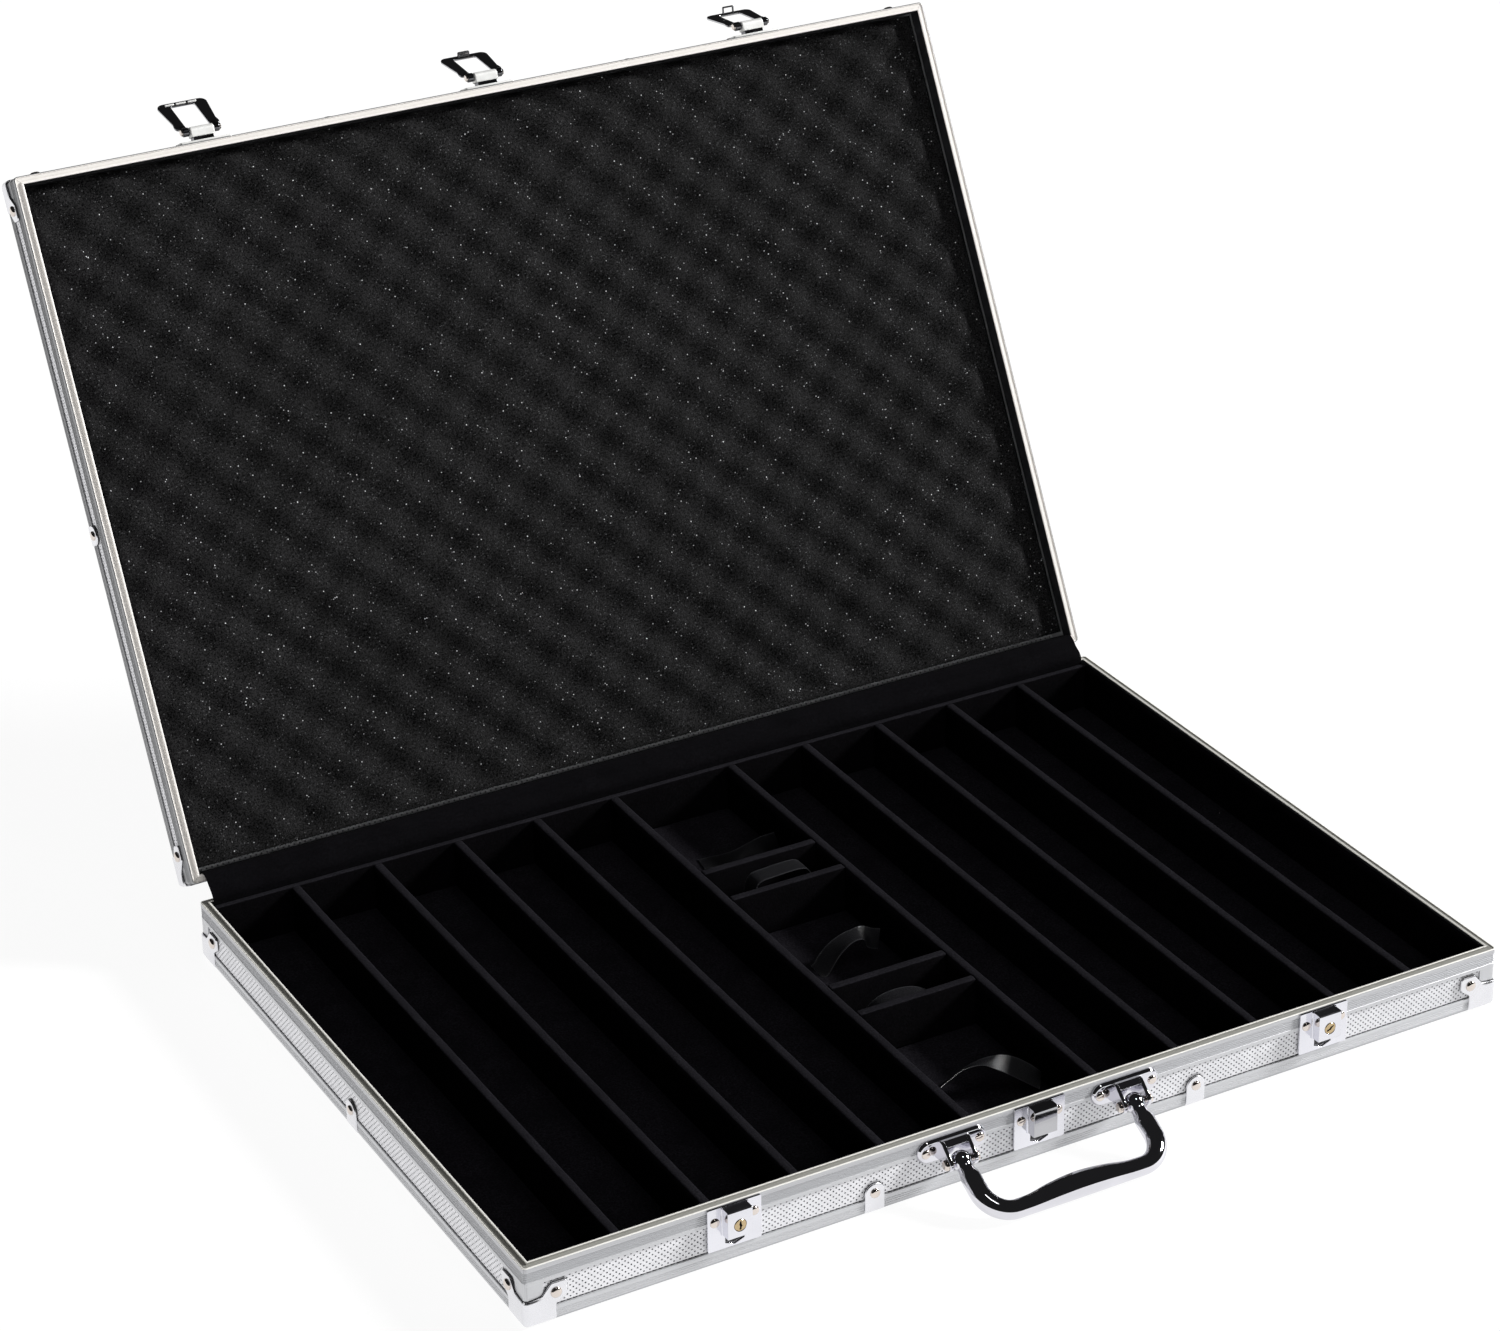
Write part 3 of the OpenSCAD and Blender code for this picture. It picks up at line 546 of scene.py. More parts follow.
def ribs(depth, low, high):
    """Small ridges up a face at that depth, as (depth, height) points."""
    count = int((high - low) / RIB_PITCH)
    foot, top = RIB_PITCH * 0.3, RIB_PITCH * 0.12
    crest = depth - RIB_RISE
    out = []
    for k in range(count):
        v = low + (high - low) * (k + 0.5) / count
        out += [(depth, v - foot), (crest, v - top), (crest, v + top), (depth, v + foot)]
    return out


def rim_section(h, rim_h):
    """The U profile over a wall's top: (depth from the outer face, height)."""
    sunk = 0.22
    bead = h - BEAD_DROP
    face = ([(0, h - rim_h), (0, h - RIB_LOW - 0.2), (sunk, h - RIB_LOW)]
            + ribs(sunk, h - RIB_LOW, h - RIB_HIGH) + [(sunk, h - RIB_HIGH), (0, h - RIB_HIGH + 0.2)])
    front_bead = [(0, bead - 0.4), (0.08, bead - 0.2), (0.3, bead - 0.05), (0.5, bead), (0.75, bead - 0.06)]
    groove = [(0.85, h - GROOVE_D), (3.3, h - GROOVE_D)]
    inner_bead = [(3.35, h - 0.12), (3.5, h), (WALL - 0.45, h), (WALL - 0.12, h - 0.12), (WALL, h - 0.45)]
    return (face + front_bead + groove + inner_bead
            + [(WALL, h - INNER_LEG), (WALL - 0.5, h - INNER_LEG),
               (WALL - 0.5, h - 1.5), (SKIN, h - 1.5), (SKIN, h - rim_h)])


def edge_section(edge_h):
    """The angle profile round the bottom."""
    outer = [(CORNER_R - x, CORNER_R - y) for x, y in arc(0, 0, CORNER_R, 90, 0, 6)]
    inner = [(CORNER_R - x, CORNER_R - y) for x, y in arc(0, 0, CORNER_R - SKIN, 0, 90, 4)]
    return ([(FLANGE, 0)] + outer + ribs(0.14, 2.2, 5.6)
            + [(0.14, 5.7), (0, 5.9), (0, edge_h - 0.25), (0.2, edge_h), (SKIN, edge_h)] + inner
            + [(FLANGE, SKIN)])


def ring_of_profiles(section, slots=None):
    """Four mitred lengths of a profile round the case, with rounded upright corners."""
    shape = Shape()
    lengths = [0.0]
    for (u0, v0), (u1, v1) in zip(section, section[1:]):
        lengths.append(lengths[-1] + math.hypot(u1 - u0, v1 - v0))
    eighth = math.radians(45)
    for side in range(4):
        hx, hy = (HALF_W, BACK_Y) if side % 2 == 0 else (BACK_Y, HALF_W)
        to_side = spin(90 * side, "Z")
        rows, uvs = [], []
        for end in (-1, 1):
            for k in range(CORNER_STEPS + 1):
                share = k / CORNER_STEPS if end < 0 else 1 - k / CORNER_STEPS
                angle = eighth * share
                row, uv = [], []
                for (u, v), run in zip(section, lengths):
                    r = CORNER_R - u
                    if r > 0.03:
                        x = hx - CORNER_R + r * math.sin(eighth - angle)
                        y = hy - CORNER_R + r * math.cos(eighth - angle)
                    else:
                        x, y = hx - u - 0.03 * share, hy - u
                    x -= MITRE_GAP / 2 * (1 - share)
                    row.append(to_side @ Vector((end * x, -y, v)))
                    uv.append((end * x, run))
                rows.append(row)
                uvs.append(uv)
        first = len(shape.points)
        m = len(section)
        shape.grid(rows, closed=True, uvs=uvs, column_slots=slots)
        last = len(shape.points)
        shape.faces += [tuple(range(first, first + m)), tuple(range(last - 1, last - m - 1, -1))]
        shape.slots += [0, 0]
    return shape


def rim_slots(section, h):
    """Which of build_profiles' materials each face of the rim's section has."""
    # the slots carry painted light: 1 the upward beads (painted highlight), 2 the groove, 3 the inner leg
    # (black, painted shade), 4 the face band and 5 the ribs (darker, painted shade), 6 the front bead
    slots = []
    for (u0, v0), (u1, v1) in zip(section, section[1:] + section[:1]):
        low, high = min(v0, v1), max(v0, v1)
        if min(u0, u1) > WALL - 0.05 and high < h - 0.3:
            slots.append(3)
        elif max(u0, u1) < 0.55 and low > h - BEAD_DROP - 0.45:
            slots.append(6)
        elif low > h - GROOVE_D - 0.05 and max(u0, u1) < 0.8:
            slots.append(1)
        elif low > h - GROOVE_D - 0.05 and max(u0, u1) < 3.4:
            slots.append(2)
        elif low > h - 0.5:
            slots.append(1)
        elif max(u0, u1) < 0.35 and low > h - RIB_HIGH - 0.05:
            slots.append(4)
        elif max(u0, u1) < 0.4 and low > h - RIB_LOW - 0.05:
            slots.append(5)
        else:
            slots.append(0)
    return slots


def edge_slots(section):
    """Slot 1 on the edge profile's rolled bottom: a darker copy of the metal, as painted shade under the
    case.
    """
    heights = [v for _, v in section]
    return [1 if max(pair) < 2.1 else 0 for pair in zip(heights, heights[1:] + heights[:1])]


def corner_angle(leg, low, high):
    """A plain angle over the corner at x = y = 0, between two heights."""
    depth = 0.06
    outline = ([(leg, depth)] + arc(CORNER_R, CORNER_R, CORNER_R - depth, 270, 180, 8)
               + [(depth, leg), (SKIN - 0.02, leg), (SKIN - 0.02, SKIN - 0.02), (leg, SKIN - 0.02)])
    return Shape().extrude(list(reversed(outline)), low, high)


def at_corners(source):
    """A shape drawn at the corner x = y = 0, repeated at all four corners."""
    target = Shape()
    for mx in (1, -1):
        for my in (1, -1):
            turn = Matrix.Diagonal((mx, my, 1, 1)) @ Matrix.Translation((-HALF_W, -BACK_Y, 0))
            faces = source.faces if mx * my > 0 else [tuple(reversed(f)) for f in source.faces]
            target.add([turn @ p for p in map(Vector, source.points)], faces)
    return target


def build_profiles():
    # lit and shaded copies of the profile aluminium, as painted highlight and painted shade; slot 3, black,
    # is painted shade on the inner leg
    base_metals = [ALUMINIUM, LIT_RIM_BEAD, SHADED_RIM_GROOVE, BLACK_PAINT_AND_SHADE, SHADED_RIM_FACE, SHADED_RIB_BAND, LIT_RIM_BEAD]
    lid_metals = [SHADED_LID_ALUMINIUM, LIT_LID_BEAD, LIT_LID_GROOVE, BLACK_PAINT_AND_SHADE, SHADED_LID_ALUMINIUM, SHADED_LID_ALUMINIUM, SHADED_LID_ALUMINIUM]
    for shell, place, body, height, rim_h, edge_h, metals in (
            ("base", Matrix(), BASE, BASE_H, BASE_RIM_H, BASE_EDGE_H, base_metals),
            ("lid", LID_SHELL, LID_BODY, LID_T, LID_RIM_H, LID_EDGE_H, lid_metals)):
        section = rim_section(height, rim_h)
        rim = ring_of_profiles(section, rim_slots(section, height))
        piece(f"{shell}_rim", rim, place, body, metals,
              [f"{shell}_rim_profiles"], sharp=25, merge=0.001)
        section = edge_section(edge_h)
        piece(f"{shell}_edge", ring_of_profiles(section, edge_slots(section)), place, body,
              [metals[0], metals[5]], [f"{shell}_edge_profiles"], sharp=25, merge=0.001)
        angle = corner_angle(ANGLE_W, edge_h, height - rim_h)
        piece(f"{shell}_corner_angles", at_corners(angle), place, body, [metals[0]],
              sharp=30)
        # a thin dark strip along each edge profile's lip: painted shadow in the gap between board and profile
        proud = 0.05
        lip = [(SKIN - proud, edge_h - 0.2), (SKIN - proud, edge_h + 0.5), (SKIN + 0.1, edge_h + 0.5),
               (SKIN + 0.1, edge_h - 0.2)]
        piece(f"{shell}_seam", ring_of_profiles(lip), place, body, [SEAM_SHADOW], sharp=25)


# ---- embossed boards -------------------------------------------------------------------------

BOARD_T = 3.2


def dotted_board(length, low, high, seen_low, seen_high):
    """A board along x, outer face on y = 0, with staggered round dimples where it is seen."""
    step, rise = DOT_PITCH / 2, DOT_RISE / 2
    radius, floor_share, depth = 0.5, 0.55, 0.35
    columns = int(length / step) // 2 * 2
    rows = int(math.ceil((seen_high - seen_low) / rise)) + 1
    x0, z0 = -columns * step / 2, seen_low - 0.35 * rise
    shape = Shape()
    lattice = [(x0 + i * step, 0, z0 + j * rise) for j in range(rows + 1) for i in range(columns + 1)]
    faces, slots, points = [], [], list(lattice)
    wide = columns + 1

    def at(i, j):
        return j * wide + i

    for j in range(rows):
        odd = j % 2
        if odd:
            faces += [(at(0, j), at(1, j), at(1, j + 1), at(0, j + 1)),
                      (at(columns - 1, j), at(columns, j), at(columns, j + 1), at(columns - 1, j + 1))]
            slots += [0, 0]
        for i in range(odd, columns - odd, 2):
            cx, cz = x0 + (i + 1) * step, z0 + (j + 0.5) * rise
            ring = len(points)
            for r, y in ((radius, 0), (radius * floor_share, depth)):
                points += [(cx + r * math.cos(k * math.pi / 4), y, cz + r * math.sin(k * math.pi / 4))
                           for k in range(8)]
            bl, bm, br = at(i, j), at(i + 1, j), at(i + 2, j)
            tl, tm, tr = at(i, j + 1), at(i + 1, j + 1), at(i + 2, j + 1)
            r = [ring + k for k in range(8)]
            faces += [(br, tr, r[1], r[0], r[7]), (tr, tm, r[2], r[1]), (tm, tl, r[3], r[2]),
                      (tl, bl, r[5], r[4], r[3]), (bl, bm, r[6], r[5]), (bm, br, r[7], r[6])]
            slots += [0] * 6
            faces += [(r[k], r[(k + 1) % 8], r[(k + 1) % 8] + 8, r[k] + 8) for k in range(8)]
            faces.append(tuple(r[k] + 8 for k in range(8)))
            # the dimple's walls and floor take slot 1, the painted shade
            slots += [1] * 9
    # margins to the board's own edges, its sides and its back
    corners = len(points)
    points += [(-length / 2, 0, low), (length / 2, 0, low), (length / 2, 0, high), (-length / 2, 0, high)]
    points += [(x, BOARD_T, z) for x, _, z in points[-4:]]
    bottom = [at(i, 0) for i in range(wide)]
    top = [at(i, rows) for i in range(wide)]
    left = [at(0, j) for j in range(rows + 1)]
    right = [at(columns, j) for j in range(rows + 1)]
    a, b, c, d = range(corners, corners + 4)
    faces += [(a, b, *reversed(bottom)), (c, d, *top), (d, a, *left), (b, c, *reversed(right))]
    e, f, g, h = range(corners + 4, corners + 8)
    faces += [(h, g, f, e), (a, e, f, b), (b, f, g, c), (c, g, h, d), (d, h, e, a)]
    slots += [0] * 9
    shape.points, shape.faces, shape.slots = points, faces, slots
    shape.uvs = [(p[0], p[2]) for p in points]
    return shape


def build_boards():
    widths = 2 * (HALF_W - SKIN), 2 * (BACK_Y - SKIN - BOARD_T)
    shells = (("base", Matrix(), BASE, BASE_H, BASE_EDGE_H, BASE_H - BASE_RIM_H),
              ("lid", LID_SHELL, LID_BODY, LID_T, LID_EDGE_H, LID_T - LID_RIM_H))
    for shell, place, body, height, seen_low, seen_high in shells:
        for side, word in enumerate(("front", "right", "back", "left")):
            shape = dotted_board(widths[side % 2], CORNER_R, height - 1.5, seen_low, seen_high)
            there = place @ side_place(side) @ Matrix.Translation((0, SKIN, 0))
            piece(f"{shell}_board_{word}", shape, there, body, [LAMINATE, DOT_SHADE],
                  [f"{shell}_wall_{word}"], sharp=30)


def flat_panel():
    """The big flat panel: a thin rebate all round lets the edge profiles' flanges lie flush."""
    shape = Shape()
    for inset, low, high in ((FLANGE + 0.2, 0, SKIN), (WALL, SKIN, BOARD_T)):
        x, y = HALF_W - inset, BACK_Y - inset
        shape.extrude([(-x, -y), (x, -y), (x, y), (-x, y)], low, high)
    return shape


def build_panels():
    piece("base_bottom", flat_panel(), Matrix(), BASE, [PANEL], ["base_panel"])
    piece("lid_outer_panel", flat_panel(), LID_SHELL, LID_BODY, [PANEL], ["lid_panel"])


# ---- caps, clips and rivets ------------------------------------------------------------------

CAP_T = 0.9
EAR_R, EAR_S = 5.6, 16.0            # an ear's radius, and how far round from the corner it is
ROLL_Z = 3.0                        # the height at which caps and clips start to roll under the case
ROLL_LOW = ROLL_Z - (CORNER_R + CAP_T) * 1.35
LIP_W = 0.55                        # the rolled lip round a pressed sheet
CLIP_W, CLIP_X = 11.0, 93.0
SHADE_LINE_UP, SHADE_LINE_T = 0.36, 0.3   # how far the painted shade line shows above the trim


def roll(w, off):
    """Distance outwards and height of a point w up a wall and off proud of it, past the rolled bottom."""
    tilt = max(0.0, (ROLL_Z - w) / (CORNER_R + CAP_T))
    r = CORNER_R + off
    return r * math.cos(tilt) - CORNER_R, ROLL_Z - r * math.sin(tilt) if tilt else w


def round_corner(s, w, off):
    """A point at a distance s round the front left corner, which is at x = y = 0; s > 0 is on the front."""
    out, z = roll(w, off)
    quarter = CORNER_R * math.pi / 4
    rho = CORNER_R + out
    if abs(s) < quarter:
        angle = math.radians(225) + s / CORNER_R
        return Vector((CORNER_R + rho * math.cos(angle), CORNER_R + rho * math.sin(angle), z))
    run = CORNER_R + abs(s) - quarter
    return Vector((run, -out, z)) if s > 0 else Vector((-out, run, z))


def rim_of(distance):
    """Height share of a pressed sheet near its edge, so that the edge rolls down to the wall."""
    t = min(1.0, max(0.0, distance / LIP_W))
    return math.sqrt(1 - (1 - t) ** 2)


def corner_cap(ear_z, dip_z, thick=CAP_T):
    """A pressed cap, one half at a time: rows go up the wall, each from the corner or dip to the ear."""
    top_z = ear_z + EAR_R
    ear_round = 1.8
    dip_end, shoulder = 7.4, 13.2

    def outer(w):
        edge = EAR_S + EAR_R
        if w > top_z - ear_round:
            return edge - ear_round + math.sqrt(max(0.0, ear_round ** 2 - (w - top_z + ear_round) ** 2))
        return edge - (EAR_R + 0.4) * (1 - smooth((w - ear_z + 7.0) / 6.0))

    def inner(w):
        if w <= dip_z:
            return 0.0
        rise = (w - dip_z) / (top_z - dip_z)
        return dip_end * min(1.0, (w - dip_z) / 0.7) ** 0.4 + (shoulder - dip_end) * rise

    levels = [ROLL_LOW + (ROLL_Z - ROLL_LOW) * k / 7 for k in range(7)]
    levels += [ROLL_Z + (dip_z - ROLL_Z) * k / 12 for k in range(13)]
    # closer together at the rolled edges
    heights = (0.004, 0.02, 0.05, 0.1, 0.17, 0.25, 0.33, 0.41, 0.49, 0.57, 0.65, 0.73, 0.8, 0.86, 0.91, 0.95,
               0.98, 0.995, 1.0)
    levels += [dip_z + (top_z - dip_z) * t for t in heights]
    shares = [0, 0.01, 0.025, 0.045, 0.07, 0.11, 0.17, 0.25, 0.35, 0.45, 0.55, 0.65, 0.75, 0.83, 0.89, 0.93,
              0.955, 0.975, 0.99, 1.0]
    shape = Shape()
    for half in (1, -1):
        for skin in (1, 0):
            rows = []
            for w in levels:
                s0, s1 = inner(w), outer(w)
                row = []
                for t in shares:
                    s = s0 + (s1 - s0) * t
                    near = min(s1 - s, top_z - w)
                    if w > dip_z:
                        near = min(near, s - s0)
                    else:
                        near = min(near, dip_z - w + max(0.0, 0.6 * (s - dip_end)))
                    lift = thick * rim_of(near) if skin else 0.0
                    row.append(round_corner(half * s, w, lift))
                rows.append(row)
            if (half > 0) != bool(skin):
                rows.reverse()
            shape.grid(rows)
    return shape


def edge_clip(clip_h, thick=CAP_T):
    """A clip at x = 0 on a wall whose face is y = 0."""
    half = CLIP_W / 2
    shape = Shape()
    levels = [ROLL_LOW + (ROLL_Z - ROLL_LOW) * k / 6 for k in range(6)]
    levels += [ROLL_Z + (clip_h - half - ROLL_Z) * k / 6 for k in range(7)]
    levels += [clip_h - half + half * math.sin(math.radians(90 * k / 12)) for k in range(1, 13)]
    shares = [-1, -0.985, -0.96, -0.92, -0.85, -0.7, -0.4, 0, 0.4, 0.7, 0.85, 0.92, 0.96, 0.985, 1]
    for skin in (1, 0):
        rows = []
        for w in levels:
            up = max(0.0, w - (clip_h - half))
            wide = math.sqrt(max(0.0, half * half - up * up))
            row = []
            for t in shares:
                s = wide * t
                near = half - math.hypot(s, up) if up else half - abs(s)
                out, z = roll(w, thick * rim_of(near) if skin else 0.0)
                row.append(Vector((s, -out, z)))
            rows.append(row)
        if skin:
            rows.reverse()
        shape.grid(rows)
    return shape


DOME = [(0, -0.3), (2.5, -0.3), (2.52, 0.1), (2.42, 0.45), (2.15, 0.78), (1.7, 1.03), (1.15, 1.18),
        (0.6, 1.24), (0, 1.26)]


def rivet(shape, place, size=1.0):
    """A domed head, standing out towards -y."""
    shape.lathe([(r * size, h * size) for r, h in reversed(DOME)], place @ spin(90, "X"), 28)


def at_front(x, out, z):
    return Matrix.Translation((x, FRONT_Y - out, z))


def rivet_pairs(shape, middles, apart, out, z, size=1.0):
    """Along the front, one head on each side of every middle."""
    for x in middles:
        for side in (-1, 1):
            rivet(shape, at_front(x + side * apart, out, z), size)


def add_copy(target, source, place):
    target.add([place @ p for p in map(Vector, source.points)], source.faces)


def build_trim():
    for shell, place, body, ear_z, dip_z, clip_h in (("base", Matrix(), BASE, 16.0, 14.9, 17.0),
                                                     ("lid", LID_SHELL, LID_BODY, 11.6, 10.8, 13.0)):
        clips, rivets = Shape(), Shape()
        clip_head, cap_head = 1.05, 1.15
        caps = at_corners(corner_cap(ear_z, dip_z))
        clip = edge_clip(clip_h)
        # a thin dark copy of each cap and clip, raised a little: painted shade along their upper edges
        shade_line = at_corners(corner_cap(ear_z + SHADE_LINE_UP, dip_z + SHADE_LINE_UP, SHADE_LINE_T))
        clip_shade_line = edge_clip(clip_h + SHADE_LINE_UP, SHADE_LINE_T)
        for side in range(4):
            to_side = side_place(side)
            reach = (HALF_W if side % 2 == 0 else BACK_Y) - EAR_S
            spots = (-CLIP_X, CLIP_X) if side % 2 == 0 else (0,)
            for x in spots:
                turn = to_side @ Matrix.Translation((x, 0, 0))
                add_copy(clips, clip, turn)
                add_copy(shade_line, clip_shade_line, turn)
                rivet(rivets, to_side @ Matrix.Translation((x, -CAP_T, clip_h - CLIP_W / 2)), clip_head)
            for x in (-reach, reach):
                rivet(rivets, to_side @ Matrix.Translation((x, -CAP_T, ear_z)), cap_head)
        if shell == "base":
            rivet_pairs(rivets, LOCKS.values(), 10.6, PLATE_T, 25.0)
            rivet_pairs(rivets, (-HANDLE_X, HANDLE_X), 15.2, 2.0, BRACKET_Z)
        for word, shape, material, nodes in (("caps", caps, CAP_METAL, [f"{shell}_corner_caps"]),
                                             ("clips", clips, CAP_METAL, [f"{shell}_edge_clips"]),
                                             ("trim_painted_shade_line", shade_line, TRIM_SHADE_LINE, [])):
            piece(f"{shell}_{word}", shape, place, body, [material], nodes, sharp=50,
                  merge=0.002)
        piece(f"{shell}_rivet_heads", rivets, place, body, [RIVET_METAL], [f"{shell}_rivets"],
              sharp=60)
    plate_heads = Shape()
    rivet_pairs(plate_heads, LOCKS.values(), 11.5, PLATE_T, LID_RIM_Z + 14.5, 0.8)
    piece("hasp_plate_rivet_heads", plate_heads, LID, LID_BODY, [RIVET_METAL], sharp=60)


# ---- locks -----------------------------------------------------------------------------------

PLUG = pivot("right_key_turn")
LOCKS = {"left": -PLUG.x, "centre": 0, "right": PLUG.x}
PLATE_T = 1.2
LOCK_BOX = box_of("lock_centre")
LOCK_OUT = FRONT_Y - LOCK_BOX[0].y
BOX_W, BOX_LOW, BOX_TOP = 13.4, 17.0, 32.3
PLUG_R, BORE_R = 3.15, 3.28


def lock_plate():
    """The flat plate; slot 1 on its top edge is a band of painted shade."""
    shape = Shape()
    low, high = LOCK_BOX[0].z, LOCK_BOX[1].z
    outline = rounded_box(LOCK_BOX[1].x - LOCK_BOX[0].x, high - low, 0.8, 0, (low + high) / 2)
    shape.extrude(outline, 0, PLATE_T, UPRIGHT)
    for number, face in enumerate(shape.faces):
        if min(shape.points[i][2] for i in face) > high - 0.3:
            shape.slots[number] = 1
    return shape


def lock_box(nose):
    """The box on a lock plate, with its top front edge rounded by nose."""
    out = LOCK_OUT
    under = [(PLATE_T - 0.4, BOX_LOW), (out - 0.6, BOX_LOW), (out - 0.18, BOX_LOW + 0.18),
             (out, BOX_LOW + 0.6)]
    side = under + arc(out - nose, BOX_TOP - nose, nose, 0, 90, 5) + [(PLATE_T - 0.4, BOX_TOP)]
    return Shape().extrude(side, -BOX_W / 2, BOX_W / 2, SIDEWAYS)


def build_locks():
    slot_outline = [(-5.2, BOX_LOW + 0.4), (-5.2, 11.9), (0, 9.9), (5.2, 11.9), (5.2, BOX_LOW + 0.4)]
    for word, x in LOCKS.items():
        keyed = word != "centre"
        place = at_front(x, 0, 0)
        plate = piece(f"lock_{word}_plate", lock_plate(), place, BASE, [LOCK_METAL, HASP_CHROME_PAINTED_SHADE],
                      [f"lock_{word}"], bevel=0.2)
        slot_cutter = piece("cutter", Shape().extrude(slot_outline, -1, 3, UPRIGHT), place, None, [BLACK_PAINT_AND_SHADE])
        cut(plate, [slot_cutter])
        # the centre box takes the darker chrome, a painted dark reflection
        body = piece(f"lock_{word}_box", lock_box(0.9 if keyed else 1.5), place, BASE,
                     [LOCK_METAL if keyed else HASP_CHROME_DARKENED], bevel=0.35)
        collar = Shape()
        skirt = [(PLATE_T - 0.2, BOX_LOW), (PLATE_T + 0.9, BOX_LOW), (PLATE_T + 0.5, BOX_TOP),
                 (PLATE_T - 0.2, BOX_TOP)]
        collar.extrude(skirt, -BOX_W / 2 - 0.7, BOX_W / 2 + 0.7, SIDEWAYS)
        piece(f"lock_{word}_collar", collar, place, BASE, [LOCK_METAL], bevel=0.4)
        if keyed:
            bore = Shape()
            bore.lathe([(0, 4), (BORE_R, 4), (BORE_R, 9), (0, 9)],
                       Matrix.Translation((0, 0, PLUG.z)) @ spin(90, "X"), 40)
            cut(body, [piece("cutter", bore, place, None, [BLACK_PAINT_AND_SHADE])])


def key_plug():
    """A brass plug that faces -y."""
    shape = Shape()
    front, back = LOCK_OUT + 0.15, 2.4
    profile = [(0, front), (PLUG_R - 0.55, front), (PLUG_R - 0.2, front - 0.1), (PLUG_R, front - 0.35),
               (PLUG_R, back), (0, back)]
    shape.lathe(profile, spin(90, "X"), 48)
    return shape


def build_keys():
    """Each plug has a keyway with a side notch cut into it; its inside is black, as painted shade."""
    keyway = [(-0.35, 2.3), (-0.55, 1.2), (-0.75, 0.4), (-0.45, -0.2), (-0.5, -1.2), (-0.9, -1.9),
              (-0.3, -2.4), (0.35, -2.2), (0.45, -1.0), (0.95, -0.4), (0.6, 0.3), (0.45, 1.0), (0.35, 2.3)]
    right_rest = -JOINTS["right_key_turn"]["range_deg"][0]
    for word, turned in (("left", 0.0), ("right", right_rest)):
        place = at_front(LOCKS[word], 0, PLUG.z) @ spin(turned, "Y")
        plug = piece(f"key_plug_{word}_face", key_plug(), place, f"{word}_key", [BRASS, BLACK_PAINT_AND_SHADE],
                     [f"key_plug_{word}"], sharp=30)
        slot_shape = Shape().extrude(keyway, LOCK_OUT - 2.2, LOCK_OUT + 2, UPRIGHT)
        slot_shape.slots = [1] * len(slot_shape.slots)
        cut(plug, [piece("cutter", slot_shape, place, None, [BRASS, BLACK_PAINT_AND_SHADE])])


# ---- handle ----------------------------------------------------------------------------------

HANDLE_PIVOT = pivot("handle_pivot")
HANDLE_X = (box_of("handle_bracket_right")[0].x + box_of("handle_bracket_right")[1].x) / 2
BRACKET_Z = 24.8
DROOP = 27.7             # degrees from level, where the handle lies
REACH = 32.5             # from the pins to the middle of the grip
BEND_R = 14.0
BALL_R = 5.3             # the flattened balls at the pins
NECK_R = 4.0
BAR_R = 5.2
SWELL_R = 1.35           # how much thicker the middle of the grip is
FLAT = 5.0               # half width of a ball between its bracket's ears


def handle_path():
    """(x, y) down one arm, along the grip and back up the other."""
    arm = [(-HANDLE_X, -t) for t in (-5.25, -5.1, -4.6, -3.8, -2.6, -1.2, 0, 1.4, 2.8, 4.0, 5.0, 6.0, 7.2,
                                     8.6, 10.4, 12.6, 15.2)]
    bend = arc(-HANDLE_X + BEND_R, BEND_R - REACH, BEND_R, 180, 270, 16)
    half = arm + bend
    grip = [(x, -REACH) for x in np.linspace(half[-1][0], 0, 19)[1:]]
    left = half + grip
    return left + [(-x, y) for x, y in reversed(left[:-1])]


def handle_size(x, y):
    """Radius and inward shift of the bar at a point of its path."""
    if y > -REACH + BEND_R - 0.01 and abs(x) > HANDLE_X - 0.01:
        t = -y
        ball = math.sqrt(max(0.05, BALL_R ** 2 - min(BALL_R - 0.05, abs(t)) ** 2))
        if t < 3.8:
            return ball, 0.0
        return max(NECK_R + (BAR_R - NECK_R) * smooth((t - 4.6) / 6.0), ball), 0.0
    swell = math.cos(min(1.0, abs(x) / 34.0) * math.pi) * 0.5 + 0.5
    thin = BAR_R - 0.35 * smooth((abs(x) - 16) / 14) * smooth((HANDLE_X - abs(x)) / 12)
    r = thin + SWELL_R * swell
    return r, r - BAR_R


def build_handle():
    path = handle_path()
    rows = []
    steps = 36
    for k, (x, y) in enumerate(path):
        ahead, behind = path[min(k + 1, len(path) - 1)], path[max(k - 1, 0)]
        along = Vector((ahead[0] - behind[0], ahead[1] - behind[1], 0)).normalized()
        inward = Vector((-along.y, along.x, 0))
        r, shift = handle_size(x, y)
        centre = Vector((x, y, 0)) + inward * shift
        ring = []
        for n in range(steps):
            a = 2 * math.pi * n / steps
            point = centre + inward * (r * math.cos(a)) + Vector((0, 0, r * math.sin(a)))
            if y > -4.6 and abs(x) > HANDLE_X - 5.5:
                middle = math.copysign(HANDLE_X, x)
                point.x = middle + max(-FLAT, min(FLAT, point.x - middle))
            ring.append(point)
        rows.append(ring)
    shape = Shape().tube(rows)
    place = Matrix.Translation(HANDLE_PIVOT) @ spin(DROOP, "X")
    piece("handle_bar", shape, place, "carry_handle", [CHROME], ["handle"], sharp=42,
          merge=0.001)


def bracket_plate():
    """A long round-ended plate pressed up from the wall, with a sloping edge all round."""
    w, h = 39.0, 12.6
    rings = []
    for inset, out in ((0.0, 0.0), (0.0, 0.35), (0.18, 0.75), (0.8, 1.75), (1.1, 1.98), (1.6, 2.05)):
        outline = rounded_box(w - 2 * inset, h - 2 * inset, h / 2 - inset - 0.01, 0, BRACKET_Z, 14)
        rings.append([UPRIGHT @ Vector((x, z, out)) for x, z in outline])
    return Shape().tube(rings)


